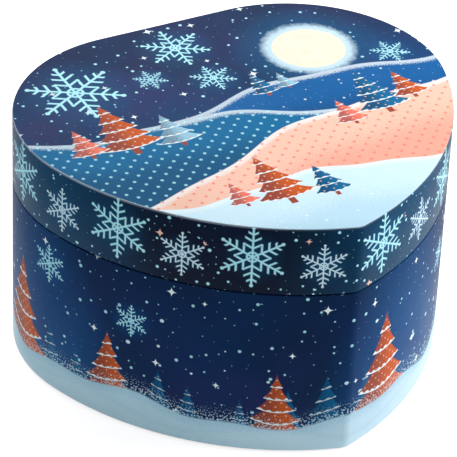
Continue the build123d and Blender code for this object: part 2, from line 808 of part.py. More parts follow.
# Governor: an upright arbor whose worm wheel drives the fan's worm
with BuildPart() as governor_arbor:
    with BuildSketch(shaft_plane(governor_x, governor_y, bridge_z)):
        Circle(governor_arbor_radius)
    extrude(amount=top_bridge_z + bridge - bridge_z)

with BuildPart() as governor_pinion:
    pinion_z = wheel_z + (wheel_thickness - governor_pinion_thickness) / 2
    with BuildSketch(shaft_plane(governor_x, governor_y, pinion_z)):
        add(gear_face(gear_module, governor_pinion_teeth, governor_direction + 180, governor_arbor_radius + seat))
    extrude(amount=governor_pinion_thickness)

with BuildPart() as worm_wheel:
    with BuildSketch(shaft_plane(governor_x, governor_y, worm_z - worm_wheel_thickness / 2)):
        add(gear_face(worm_module, worm_wheel_teeth, 180, governor_arbor_radius + seat))
    extrude(amount=worm_wheel_thickness)
    with BuildSketch(shaft_plane(governor_x, governor_y, worm_z - worm_wheel_hub)):
        Circle(worm_wheel_hub)
        Circle(governor_arbor_radius + seat, mode=Mode.SUBTRACT)
    extrude(amount=2 * worm_wheel_hub)

# The worm's thread, drawn upright. A groove faces the worm wheel's tooth halfway along.
thread_turns = 2 * int((worm_length / worm_pitch + 1) / 2) - 1     # an odd number, so that a groove is halfway
thread_length = thread_turns * worm_pitch
with BuildPart() as worm_thread:
    with BuildLine() as thread_path:
        Helix(worm_pitch, thread_length, worm_radius)
    thread_start = Plane(origin=thread_path.line @ 0, x_dir=(1, 0, 0), z_dir=thread_path.line % 0)
    with BuildSketch(thread_start):
        thread_foot = -dedendum * worm_module - seat
        thread_tip = addendum * worm_module
        Polygon(
            (thread_foot, -worm_root_share * worm_pitch),
            (thread_tip, -worm_tip_share * worm_pitch),
            (thread_tip, worm_tip_share * worm_pitch),
            (thread_foot, worm_root_share * worm_pitch),
        )
    sweep(path=thread_path.line, is_frenet=True)

worm_plane = Plane(origin=(worm_x, governor_y, worm_z), x_dir=(1, 0, 0), z_dir=(0, 1, 0))
worm_core = worm_radius - dedendum * worm_module + glue
with BuildPart(worm_plane) as worm_shaft:
    Cylinder(worm_core, worm_length)
    with Locations((0, 0, -thread_length / 2)):
        add(worm_thread.part)
    with Locations((0, 0, bracket_front - governor_y)):
        Cylinder(worm_shaft_radius, bracket_back + bracket - bracket_front,
                 align=(Align.CENTER, Align.CENTER, Align.MIN))

with BuildPart() as air_fan:
    fan_plane = Plane(origin=(worm_x, fan_start, worm_z), x_dir=(1, 0, 0), z_dir=(0, 1, 0))
    with BuildSketch(fan_plane):
        Circle(fan_hub)
        Rectangle(2 * fan_radius, fan_vane)
        Circle(worm_shaft_radius + seat, mode=Mode.SUBTRACT)
    extrude(amount=fan_length)

with BuildPart() as governor_bracket:
    with BuildSketch(Plane.XY.offset(worm_z - bracket_half)):
        with Locations((bracket_x, bracket_front)):
            Rectangle(bracket, mount_y - plate - bracket_front, align=(Align.MAX, Align.MIN))
        with Locations((bracket_x, mount_y - plate)):
            Rectangle(bracket_foot, bracket, align=(Align.MIN, Align.MAX))
        for tab_y in (bracket_front, bracket_back):
            with Locations((bracket_x, tab_y)):
                Rectangle(worm_x - bracket_x + bracket, bracket, align=(Align.MIN, Align.MIN))
    extrude(amount=2 * bracket_half)
    with BuildSketch(Plane(origin=(worm_x, bracket_front, worm_z), x_dir=(1, 0, 0), z_dir=(0, 1, 0))):
        Circle(worm_shaft_radius + running)
    extrude(amount=bracket_back + bracket - bracket_front, mode=Mode.SUBTRACT)
    with BuildSketch(movement_plane.offset(plate)):
        with Locations((bracket_x + bracket_foot / 2, worm_wheel_rise)):
            Circle(bracket_screw_radius + seat)
    extrude(amount=bracket, mode=Mode.SUBTRACT)

bracket_screw_plane = Plane(
    origin=(bracket_x + bracket_foot / 2, mount_y - plate - bracket, worm_z), x_dir=(1, 0, 0), z_dir=(0, 1, 0)
)
with BuildPart() as bracket_screw:
    add(round_screw(bracket_screw_plane, bracket_screw_radius, bracket + plate, bracket_screw_head,
                    bracket_screw_rise))

# Stop wire: up from the fan, back under the deck and up beside the back wall
with BuildPart() as stop_wire:
    with BuildLine() as wire_path:
        FilletPolyline(
            (worm_x, wire_foot_y, wire_foot),
            (worm_x, wire_foot_y, wire_run),
            (worm_x, stop_y, wire_run),
            (worm_x, stop_y, stop_top),
            radius=wire_bend,
        )
    with BuildSketch(Plane(origin=(worm_x, wire_foot_y, wire_foot))):
        Circle(wire_radius)
    sweep(path=wire_path.line)

with BuildPart() as stop_eyelet:
    with BuildSketch(shaft_plane(worm_x, stop_y, stage_under)):
        Circle(eyelet_sleeve)
    extrude(amount=deck + felt)
    with BuildSketch(shaft_plane(worm_x, stop_y, stage_felt_top)):
        Circle(eyelet_radius)
    extrude(amount=eyelet_flange)
    with BuildSketch(shaft_plane(worm_x, stop_y, stage_under)):
        Circle(wire_radius + running)
    extrude(amount=deck + felt + eyelet_flange, mode=Mode.SUBTRACT)

# Spindle bush in the deck, and the figurine
with BuildPart() as spindle_bush:
    with BuildSketch(shaft_plane(0, cylinder_y, stage_under)):
        Circle(bush_sleeve)
    extrude(amount=deck + felt)
    with BuildSketch(shaft_plane(0, cylinder_y, stage_felt_top)):
        Circle(bush_radius)
    extrude(amount=bush_flange)
    with BuildSketch(shaft_plane(0, cylinder_y, stage_under)):
        Circle(spindle_radius + running)
    extrude(amount=deck + felt + bush_flange, mode=Mode.SUBTRACT)

with BuildPart() as figurine_plinth:
    with BuildSketch(shaft_plane(0, cylinder_y, plinth_bottom)):
        Circle(plinth_radius)
    extrude(amount=plinth_height)
    fillet(figurine_plinth.faces().sort_by(Axis.Z)[-1].edges(), plinth_height / 3)
    with BuildSketch(shaft_plane(0, cylinder_y, plinth_bottom)):
        Circle(spindle_radius + seat)
    extrude(amount=plinth_height - clear, mode=Mode.SUBTRACT)

# Turned tree: each tier widens to a hem and steps in under the one above
tier_bottom = plinth_top + tree_trunk_height
tier_height = (tree_top - tier_bottom) / tree_tiers
tree_profile = [(0, plinth_top), (tree_trunk, plinth_top), (tree_trunk, tier_bottom)]
for tier in range(tree_tiers):
    hem = tree_radius * (1 - tier / tree_taper)
    waist = tree_tip if tier == tree_tiers - 1 else tier_waist * hem
    tree_profile.append((hem, tier_bottom + tier * tier_height))
    tree_profile.append((waist, tier_bottom + (tier + 1) * tier_height))
tree_profile.append((0, tree_top))

with BuildPart() as figurine_tree:
    with BuildSketch(Plane(origin=(0, cylinder_y, 0), x_dir=(1, 0, 0), z_dir=(0, -1, 0))):
        Polygon(*tree_profile)
    revolve(axis=Axis((0, cylinder_y, 0), (0, 0, 1)))

with BuildPart() as figurine_star:
    star_z = tree_top + star_stem + star_radius
    star_plane = Plane(
        origin=(0, cylinder_y + star_thickness / 2, star_z), x_dir=(1, 0, 0), z_dir=(0, -1, 0)
    )
    star_corners = []
    for corner in range(2 * star_points):
        corner_radius = star_radius if corner % 2 == 0 else star_notch
        corner_angle = pi / 2 + pi * corner / star_points
        star_corners.append((corner_radius * cos(corner_angle), corner_radius * sin(corner_angle)))
    with BuildSketch(star_plane):
        Polygon(*star_corners, align=None)
    extrude(amount=star_thickness)
    with BuildSketch(shaft_plane(0, cylinder_y, tree_top)):
        Circle(star_thickness / 2 - seat)
    extrude(amount=star_stem + star_radius - star_notch / 2)

pieces = {
    "base_felt": base_felt,
    "base_floor": base_floor,
    "base_wall": base_wall,
    "base_wrap": base_wrap,
    "base_liner": base_liner,
    "floor_pad": floor_pad,
    "divider_left": divider_left,
    "divider_right": divider_right,
    "stage_cover": stage_cover,
    "stage_felt": stage_felt,
    "lid_wall": lid_wall,
    "lid_board": lid_board,
    "lid_wrap": lid_wrap,
    "lid_sheet": lid_sheet,
    "lid_side_lining": lid_side_lining,
    "lid_panel": lid_panel,
    "lid_mirror": lid_mirror,
    "stop_striker": stop_striker,
    "hinge_lid_leaf_left": hinge_lid_leaf_left,
    "hinge_lid_leaf_right": hinge_lid_leaf_right,
    "hinge_base_leaf_left": hinge_base_leaf_left,
    "hinge_base_leaf_right": hinge_base_leaf_right,
    "hinge_pin_left": hinge_pin_left,
    "hinge_pin_right": hinge_pin_right,
    "hinge_lid_screws": hinge_lid_screws,
    "hinge_base_screws": hinge_base_screws,
    "movement_frame": movement_frame,
    "movement_screws": movement_screws,
    "key_escutcheon": key_escutcheon,
    "winding_arbor": winding_arbor,
    "ratchet_wheel": ratchet_wheel,
    "click": click,
    "winding_key": winding_key,
    "spring_barrel": spring_barrel,
    "barrel_cap": barrel_cap,
    "mainspring": mainspring,
    "cylinder_arbor": cylinder_arbor,
    "cylinder_drum": cylinder_drum,
    "cylinder_pinion": cylinder_pinion,
    "cylinder_wheel": cylinder_wheel,
    "comb": comb,
    "comb_base": comb_base,
    "comb_screws": comb_screws,
    "governor_arbor": governor_arbor,
    "governor_pinion": governor_pinion,
    "worm_wheel": worm_wheel,
    "worm_shaft": worm_shaft,
    "air_fan": air_fan,
    "governor_bracket": governor_bracket,
    "bracket_screw": bracket_screw,
    "stop_wire": stop_wire,
    "stop_eyelet": stop_eyelet,
    "spindle_bush": spindle_bush,
    "figurine_plinth": figurine_plinth,
    "figurine_tree": figurine_tree,
    "figurine_star": figurine_star,
}

os.makedirs("parts", exist_ok=True)
for name, piece in pieces.items():
    piece.part.label = name
    export_step(piece.part, f"parts/{name}.step")
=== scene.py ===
import json
from math import atan2, cos, pi, radians, sin, sqrt

import bmesh
import bpy
from mathutils import Matrix, Vector


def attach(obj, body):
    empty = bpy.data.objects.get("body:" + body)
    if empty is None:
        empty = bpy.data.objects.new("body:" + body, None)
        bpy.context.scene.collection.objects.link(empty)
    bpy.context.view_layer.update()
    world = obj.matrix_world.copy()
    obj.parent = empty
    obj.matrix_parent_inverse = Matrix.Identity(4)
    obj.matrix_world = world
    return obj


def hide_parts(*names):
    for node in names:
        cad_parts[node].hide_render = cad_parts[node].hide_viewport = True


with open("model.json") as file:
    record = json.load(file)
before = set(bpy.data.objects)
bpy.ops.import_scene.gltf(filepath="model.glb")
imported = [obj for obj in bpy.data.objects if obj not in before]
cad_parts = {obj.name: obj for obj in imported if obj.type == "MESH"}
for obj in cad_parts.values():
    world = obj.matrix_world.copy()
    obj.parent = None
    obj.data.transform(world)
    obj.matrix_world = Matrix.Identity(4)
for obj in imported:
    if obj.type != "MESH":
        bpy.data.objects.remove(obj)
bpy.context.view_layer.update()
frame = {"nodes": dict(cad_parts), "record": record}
mm = 0.001
weldGap = 1e-6    # in metres: vertices closer than this are one
black, white = (0, 0, 0, 1), (1, 1, 1, 1)
print("frame loaded:", len(frame["nodes"]), "nodes")


# Shader sums: a Wire is a socket, and each operator on it adds a Math node
class Wire:
    def __init__(self, finish, socket):
        self.finish = finish
        self.socket = socket

    def sums(self, operation, *values, clamp=False):
        return self.finish.add("Math", {"operation": operation, "use_clamp": clamp}, values)

    def also(self, output):    # another output of the same node
        return Wire(self.finish, self.socket.node.outputs[output])

    def __add__(self, other):
        return self.sums("ADD", self, other)

    def __radd__(self, other):
        return self.sums("ADD", other, self)

    def __sub__(self, other):
        return self.sums("SUBTRACT", self, other)

    def __rsub__(self, other):
        return self.sums("SUBTRACT", other, self)

    def __mul__(self, other):
        return self.sums("MULTIPLY", self, other)

    def __rmul__(self, other):
        return self.sums("MULTIPLY", other, self)

    def __truediv__(self, other):
        return self.sums("DIVIDE", self, other)

    def __pow__(self, other):
        return self.sums("POWER", self, other)

    def __mod__(self, other):
        return self.sums("FLOORED_MODULO", self, other)

    def __abs__(self):
        return self.sums("ABSOLUTE", self)

    def __and__(self, other):    # the smaller: of two distances, it joins their shapes
        return self.sums("MINIMUM", self, other)

    def __or__(self, other):    # the larger: of two distances, it keeps what their shapes share
        return self.sums("MAXIMUM", self, other)

    def __lt__(self, other):
        return self.sums("LESS_THAN", self, other)

    def __gt__(self, other):
        return self.sums("GREATER_THAN", self, other)


class Finish:
    def __init__(self, tree):
        self.tree = tree

    def add(self, kind, settings, sockets, out=0):
        node = self.tree.nodes.new("ShaderNode" + kind)
        for name, value in settings.items():
            if name == "stops":
                node.color_ramp.interpolation = "CONSTANT"
                ramp = node.color_ramp.elements
                while len(ramp) < len(value):
                    ramp.new(1)
                for stop, (position, colour) in zip(ramp, value):
                    stop.position = position
                    stop.color = colour
            else:
                setattr(node, name, value)
        for key, value in sockets.items() if isinstance(sockets, dict) else enumerate(sockets):
            if isinstance(value, Wire):
                self.tree.links.new(value.socket, node.inputs[key])
            else:
                node.inputs[key].default_value = value
        return Wire(self, node.outputs[out]) if node.outputs else None

    def mix(self, factor, under, over):
        return self.add("Mix", {"data_type": "RGBA"}, {0: factor, 6: under, 7: over}, out=2)

    def place(self, uvMap=None):    # coordinates in millimetres
        if uvMap:
            spot = self.add("UVMap", {"uv_map": uvMap}, {})
        else:
            spot = self.add("TexCoord", {}, {}, out="Object")
        return self.add("VectorMath", {"operation": "SCALE"}, {0: spot, "Scale": 1 / mm})

    def split(self, vector):
        first = self.add("SeparateXYZ", {}, [vector])
        return first, first.also(1), first.also(2)

    def noise(self, vector, size, detail=2.0, rough=0.5):    # size of a cloud in millimetres
        return self.add("TexNoise", {},
                        {"Vector": vector, "Scale": 1 / size, "Detail": detail, "Roughness": rough})

    def cells(self, vector, pitch, randomness=1.0, dimensions="2D"):
        return self.add("TexVoronoi", {"voronoi_dimensions": dimensions},
                        {"Vector": vector, "Scale": 1 / pitch, "Randomness": randomness})

    def stretch(self, vector, *factors):
        return self.add("VectorMath", {"operation": "MULTIPLY"}, [vector, factors])

    def fromMiddle(self, plane, cell):    # how far a point is across and up from the middle of its cell
        apart = self.add("VectorMath", {"operation": "SUBTRACT"}, [plane, cell.also("Position")])
        return self.split(apart)[:2]

    def finishWith(self, colour, roughness, others, bump=None):    # bump: height, strength and distance
        sockets = {"Base Color": colour, "Roughness": roughness, **others}
        if bump:
            sockets["Normal"] = self.add("Bump", {}, dict(zip(("Height", "Strength", "Distance"), bump)))
        self.add("OutputMaterial", {}, {"Surface": self.add("BsdfPrincipled", {}, sockets)})
        return self


def newFinish(name):
    material = bpy.data.materials.new(name)
    material.use_nodes = True
    material.node_tree.nodes.clear()
    finish = Finish(material.node_tree)
    finish.material = material
    return finish


def ink(red, green, blue):    # a printed colour, from the 0 to 255 of a picture editor
    return tuple((c / 255) ** 2.2 for c in (red, green, blue)) + (1,)


def blended(share, under, over):    # two fixed colours mixed
    return tuple(low + (high - low) * share for low, high in zip(under, over))


def fill(distance, blur=0.25):    # how far ink covers, from a distance to its edge in millimetres
    return distance.sums("MULTIPLY_ADD", distance, -1 / blur, 0.5, clamp=True)


def above(value, start, gain):    # nothing up to a start, then rising
    return (value - start) * gain | 0


def raised(value, least, more):    # from a least amount up
    return least + more * value


def root(value):
    return value.sums("SQRT", value)


def sine(value):
    return value.sums("SINE", value)


def cosine(value):
    return value.sums("COSINE", value)


def fraction(value):
    return value.sums("FRACT", value)


def whole(value):
    return value.sums("FLOOR", value)


def span(dx, dy):
    return root(dx * dx + dy * dy)


def scattered(finish, spot, pitch, scatter, radius, blur):    # round dots all through a piece
    return fill(finish.cells(spot, pitch, scatter, "3D") * pitch - radius, blur)


print("shader tools ready")

# Printed winter-night design: its inks and motifs
night = {
    "dark": ink(0, 13, 32), "deep": ink(13, 36, 65), "sky": ink(10, 52, 100), "glow": ink(20, 92, 152),
    "violet": ink(48, 40, 92), "teal": ink(16, 104, 150),
    "ice": ink(212, 234, 247), "shade": ink(152, 197, 219), "mint": ink(184, 238, 250),
    "white": ink(246, 250, 252), "moon": ink(252, 244, 222),
    "peach": ink(252, 194, 172), "coral": ink(245, 122, 100), "rust": ink(206, 90, 38),
}
flake = {"line": 0.03, "twigs": ((0.3, 0.24), (0.54, 0.27), (0.77, 0.17)), "bead": 0.055, "ring": 0.16,
         "between": 0.5, "smallBead": 0.044}
stars = {"least": 0.06, "rarity": 3, "scatter": 0.7, "sizes": (0.5, 0.5), "blur": 0.15}
airbrush = {"grain": (0.5, 2, 0.7), "first": 0.22, "range": 0.56, "blur": 0.1}
firPrint = {
    "hem": 1.14, "waist": 0.72, "curl": 0.16, "trunk": (0.045, 0.12, 0.1), "trunkShade": 0.45,
    "shading": (0.5, 0.7, 0.5), "dots": (2.7, 0.34), "dotCover": 0.75,
    "snow": 0.11, "ripple": (0.05, 2.1), "snowBlur": 0.05, "snowCover": 0.92,
}
printPaper = {"fibre": (0.5, 3), "patch": (9, 3, 0.6), "mottle": 0.07, "core": ink(196, 200, 214),
              "shader": {"Specular IOR Level": 0.05}, "rough": (0.34, 0.12, 0.05), "bump": (0.12, 0.00004)}
foldWear = {"rub": (2.2, 4, 0.7), "worn": 0.62, "half": 0.3, "blur": 0.4, "cover": 0.3}


def snowflake(dx, dy):    # signed distance of a six-armed flake of unit reach
    angle = dy.sums("ARCTAN2", dy, dx)
    away = span(dx, dy)
    sector = abs(angle % (pi / 3) - pi / 6)    # folded onto half of one arm
    along = away * cosine(sector)
    aside = away * sine(sector)
    shape = (aside - flake["line"]) | (along - 1)
    for start, length in flake["twigs"]:
        twig = abs((along - start) * sin(pi / 3) - aside * cos(pi / 3)) - flake["line"]
        shape = shape & (twig | (aside - length * sin(pi / 3)))
    shape = shape & (span(along - 1, aside) - flake["bead"])
    shape = shape & (abs(away - flake["ring"]) - flake["line"])
    gap = pi / 6 - sector
    bead = span(away * cosine(gap) - flake["between"], away * sine(gap))
    return shape & (bead - flake["smallBead"]), away


def halo(away, reach, blur, cover):    # soft light round a shape
    return fill(away - reach, blur) * cover


def starDots(finish, plane, pitch, largest):    # scattered round stars, few of them large
    cell = finish.cells(plane, pitch)
    size = finish.split(cell.also("Color"))[0]
    return fill(cell * pitch - size ** stars["rarity"] * largest - stars["least"])


def pointedStars(finish, plane, pitch, reach):    # scattered stars of four points
    cell = finish.cells(plane, pitch, stars["scatter"])
    dx, dy = finish.fromMiddle(plane, cell)
    size = raised(finish.split(cell.also("Color"))[0], *stars["sizes"])
    return fill(root(abs(dx)) + root(abs(dy)) - root(size * reach), stars["blur"])


def lattice(x, y, pitch, radius):    # staggered dots
    along = (x + y) * sqrt(0.5) % pitch - pitch / 2
    across = (x - y) * sqrt(0.5) % pitch - pitch / 2
    return fill(span(along, across) - radius)


def spray(speck, share):    # airbrushed shading: specks as dense as share, from 0 to 1
    return fill(speck - airbrush["first"] - airbrush["range"] * share, airbrush["blur"])


# A tree from its foot: x is the distance from the trunk, y the height
def drawFir(finish, colour, x, y, height, spread, tiers, leaf, speck, dots):
    lifted = y - x * x * firPrint["curl"] / spread    # the ends of the boughs turn up
    rise = lifted / height
    step = fraction(rise * tiers)
    half = (1 - rise) * (firPrint["hem"] - (firPrint["hem"] - firPrint["waist"]) * step) * spread
    shape = (abs(x) - half) | (0 - lifted) | (rise - 1)
    middle, slant, cover = firPrint["shading"]    # darker on one side
    leaves = finish.mix(spray(speck, middle - x / spread * slant) * cover, leaf, night["deep"])
    if dots:
        leaves = finish.mix(lattice(x, y, *firPrint["dots"]) * firPrint["dotCover"], leaves, night[dots])
    ripple, beat = firPrint["ripple"]
    hem = step - firPrint["snow"] - ripple * sine(x * beat)
    leaves = finish.mix(fill(hem, firPrint["snowBlur"]) * firPrint["snowCover"], leaves, night["white"])
    trunkHalf, trunkFoot, trunkTop = firPrint["trunk"]    # shares of the height
    trunk = (abs(x) - height * trunkHalf) | (0 - y - height * trunkFoot) | (y - height * trunkTop)
    colour = finish.mix(fill(trunk), colour, blended(firPrint["trunkShade"], night["rust"], night["deep"]))
    return finish.mix(fill(shape), colour, leaves)


def rubbedFold(finish, plane, away):    # patches of wear along a fold, from the distance to it
    rub = finish.noise(plane, *foldWear["rub"])
    return fill(away - foldWear["half"], foldWear["blur"]) * (rub > foldWear["worn"]) * foldWear["cover"]


def leftWeighted(across, start, blur, more):    # full on the left, a smaller share on the right: keeps the painted edge highlight to the left
    return fill(across + start, blur) * more + (1 - more)


def paperFinish(finish, colour, spot, worn):
    # Satin film over the print: faint fibres, and a pale core where a fold is worn, which on the lid's top
    # edge is also a painted highlight
    fibre = finish.noise(spot, *printPaper["fibre"])
    patch = finish.noise(spot, *printPaper["patch"])
    mottled = finish.mix(patch * printPaper["mottle"], colour, night["deep"])
    wearAndHighlight = finish.mix(worn, mottled, printPaper["core"])
    smooth, patchy, fibrous = printPaper["rough"]
    return finish.finishWith(wearAndHighlight, smooth + patchy * patch + fibrous * fibre, printPaper["shader"],
                             (fibre, *printPaper["bump"]))


# Print round the base: fir trees on snow under a starry sky. Across is round the box, from the tip.
basePrint = {
    "around": 479.36, "top": 66.8, "bottom": 0.8,
    "clouds": 60, "blue": (0.35, 1.6), "horizon": 10, "sky": 56,
    "lowLight": 0.6, "lights": (0.52, 3, 0.3), "lightSpray": 0.12,
    "dusk": 34, "violet": (0.42, 3), "violetCover": 0.6,
    "smallStars": (5.5, 0.62), "smallCover": 0.85, "largeStars": (13, 0.95), "largePull": (1, 1.1, 1),
    "pointedStars": (26, 2.4),
    "flakes": {"cells": (44, 0.75), "reach": (6, 5), "missing": 0.2, "low": 36, "high": 55,
               "halo": (0.8, 1.2, 0.35), "blur": 0.03},
    "wood": {"count": 31, "chance": 11.47, "height": (11, 11), "spread": 0.32, "tiers": 4, "sunk": 1.5,
             "leaves": ((0, "teal"),), "dots": None, "cover": 0.7},
    "trees": {"count": 9, "chance": 3.33, "height": (23, 19), "spread": 0.36, "tiers": 5, "sunk": 3.5,
              "leaves": ((0, "rust"), (0.3, "teal"), (0.5, "coral"), (0.72, "rust")), "dots": "peach",
              "cover": 1},
    "slide": (0.32, 0.36),    # where a tree may stand in its stretch
    "snow": 13, "drifts": ((2.4, 5, 0.6), (1.2, 13, 2)), "driftShade": (8, 11, 0.55),
    "smudge": 14, "smudgeCover": 0.3, "ragged": 1.2, "raggedBy": 0.5, "driftBlur": 0.8,
    "flurry": {"pitch": 1, "dot": 0.36, "fade": 0.055, "cover": 0.7},
    "bank": {"height": 7.7, "wave": (2.2, 7, 4), "shade": (5, 9, 0.5), "blur": 1.6, "cover": 0.85},
}


def roundWave(u, height, count, start):    # waves that meet at the back of the box
    return height * sine(u * (count * 2 * pi / basePrint["around"]) + start)


def shadedSnow(finish, speck, depth, start, reach, cover):    # shaded from its edge down
    return finish.mix(spray(speck, (depth + start) / reach) * cover, night["ice"], night["shade"])


def printBase():
    finish = newFinish("printedBasePaper")
    plane = finish.place("print")
    u, v, _ = finish.split(plane)
    snowEdge = basePrint["snow"]
    for wave in basePrint["drifts"]:
        snowEdge = snowEdge + roundWave(u, *wave)
    clouds = finish.noise(plane, basePrint["clouds"])
    speck = finish.noise(plane, *airbrush["grain"])
    level = (v - basePrint["horizon"]) / basePrint["sky"]
    colour = finish.mix(above(clouds, *basePrint["blue"]), night["deep"], night["sky"])
    # Printed glow near the horizon and in three bands round the box; the band just right of the tip lies on
    # the lit right flank, where it is painted sheen
    lights = (basePrint["lowLight"] - level) * clouds + roundWave(u, *basePrint["lights"])
    colour = finish.mix((lights + basePrint["lightSpray"] * (speck - 0.5)) | 0, colour, night["glow"])
    dusk = above(finish.noise(plane, basePrint["dusk"]), *basePrint["violet"])
    colour = finish.mix(dusk * (1 - level | 0) * basePrint["violetCover"], colour, night["violet"])
    small = starDots(finish, plane, *basePrint["smallStars"])
    colour = finish.mix(small * basePrint["smallCover"], colour, night["mint"])
    large = starDots(finish, finish.stretch(plane, *basePrint["largePull"]), *basePrint["largeStars"])
    colour = finish.mix(large, colour, night["ice"])
    colour = finish.mix(pointedStars(finish, plane, *basePrint["pointedStars"]), colour, night["white"])

    # Scattered snowflakes high in the sky
    flakes = basePrint["flakes"]
    cell = finish.cells(plane, *flakes["cells"])
    dx, dy = finish.fromMiddle(plane, cell)
    pick, size, _ = finish.split(cell.also("Color"))
    reach = raised(size, *flakes["reach"])
    shape, away = snowflake(dx / reach, dy / reach)
    middle = finish.split(cell.also("Position"))[1]
    shown = (pick > flakes["missing"]) * (middle > flakes["low"]) * (middle < flakes["high"])
    colour = finish.mix(halo(away, *flakes["halo"]) * shown, colour, night["glow"])
    colour = finish.mix(fill(shape, flakes["blur"]) * shown, colour, night["mint"])

    # A dark wood behind, then a few tall trees in front
    for row in (basePrint["wood"], basePrint["trees"]):
        pitch = basePrint["around"] / row["count"]
        place = whole(u / pitch)
        chance = finish.add("TexWhiteNoise", {"noise_dimensions": "1D"}, {"W": place + row["chance"]})
        hue, slide, _ = finish.split(chance.also("Color"))
        height = raised(chance, *row["height"])
        x = u - (place + raised(slide, *basePrint["slide"])) * pitch
        y = v - snowEdge + row["sunk"]
        stops = [(start, night[name]) for start, name in row["leaves"]]
        leaf = finish.add("ValToRGB", {"stops": stops}, [hue])
        drawn = drawFir(finish, colour, x, y, height, height * row["spread"], row["tiers"], leaf, speck,
                        row["dots"])
        colour = finish.mix(row["cover"], colour, drawn)

    # Snow: flurries over a soft drift, then a brighter bank in front
    drift = v - snowEdge
    flurry, bank = basePrint["flurry"], basePrint["bank"]
    blown = fill(finish.cells(plane, flurry["pitch"]) - flurry["dot"] + drift * flurry["fade"])
    colour = finish.mix(blown * (drift > 0) * flurry["cover"], colour, night["ice"])
    snow = shadedSnow(finish, speck, drift, *basePrint["driftShade"])
    smudge = finish.noise(plane, basePrint["smudge"])
    snow = finish.mix(smudge * basePrint["smudgeCover"], snow, night["shade"])
    ragged = basePrint["raggedBy"] * finish.noise(plane, basePrint["ragged"])
    colour = finish.mix(fill(drift + ragged, basePrint["driftBlur"]), colour, snow)
    near = v - bank["height"] - roundWave(u, *bank["wave"])
    nearSnow = shadedSnow(finish, speck, near, *bank["shade"])
    colour = finish.mix(fill(near, bank["blur"]) * bank["cover"], colour, nearSnow)

    folds = abs(v - basePrint["top"]) & abs(v - basePrint["bottom"])
    return paperFinish(finish, colour, plane, rubbedFold(finish, plane, folds))


# Print round the lid: a row of snowflakes, large and small by turns
rimPrint = {
    "flakes": 20, "middle": 80.4, "large": 11.6, "small": 8.4, "stagger": 1.5, "halo": (0.45, 1.1, 0.3),
    "blur": 0.03, "clouds": 40, "blue": (0.3, 1.2), "light": 0.16, "lights": (0.2, 3, 0.3),
    "clear": 1.12, "dots": (3.6, 0.6), "pointedStars": (19, 2.6),
    "bottom": 67.2, "crease": 93.25, "creaseBlur": 0.3, "creaseWearAndHighlight": (1.8, 0.35), "creaseCover": 0.7,
    "leftWeight": (50, 60, 0.7),
}


def printRim():
    finish = newFinish("printedRimPaper")
    plane = finish.place("print")
    u, v, _ = finish.split(plane)
    pitch = basePrint["around"] / rimPrint["flakes"]
    place = whole(u / pitch)
    odd = place % 2
    reach = rimPrint["large"] - (rimPrint["large"] - rimPrint["small"]) * odd
    dx = (u - (place + 0.5) * pitch) / reach
    dy = (v - rimPrint["middle"] + rimPrint["stagger"] * (2 * odd - 1)) / reach
    shape, away = snowflake(dx, dy)
    clouds = finish.noise(plane, rimPrint["clouds"])
    lights = rimPrint["light"] + roundWave(u, *rimPrint["lights"])
    colour = finish.mix(above(clouds, *rimPrint["blue"]), night["dark"], night["deep"])
    colour = finish.mix(halo(away, *rimPrint["halo"]) + lights | 0, colour, night["teal"])
    clear = away > rimPrint["clear"]
    colour = finish.mix(starDots(finish, plane, *rimPrint["dots"]) * clear, colour, night["mint"])
    pointed = pointedStars(finish, plane, *rimPrint["pointedStars"])
    colour = finish.mix(pointed * clear, colour, night["peach"])
    tint = finish.mix(odd, night["mint"], night["ice"])
    colour = finish.mix(fill(shape, rimPrint["blur"]), colour, tint)

    # Worn at the seam; along the crease under the lid's sheet, a patchy pale band of worn core that is also a
    # painted edge highlight, strongest on the left
    seam = rubbedFold(finish, plane, abs(v - rimPrint["bottom"]))
    gain, least = rimPrint["creaseWearAndHighlight"]
    crease = fill(rimPrint["crease"] - v, rimPrint["creaseBlur"]) * (clouds * gain - least | 0)
    leftWeight = leftWeighted(u, *rimPrint["leftWeight"])
    return paperFinish(finish, colour, plane, seam | crease * leftWeight * rimPrint["creaseCover"])


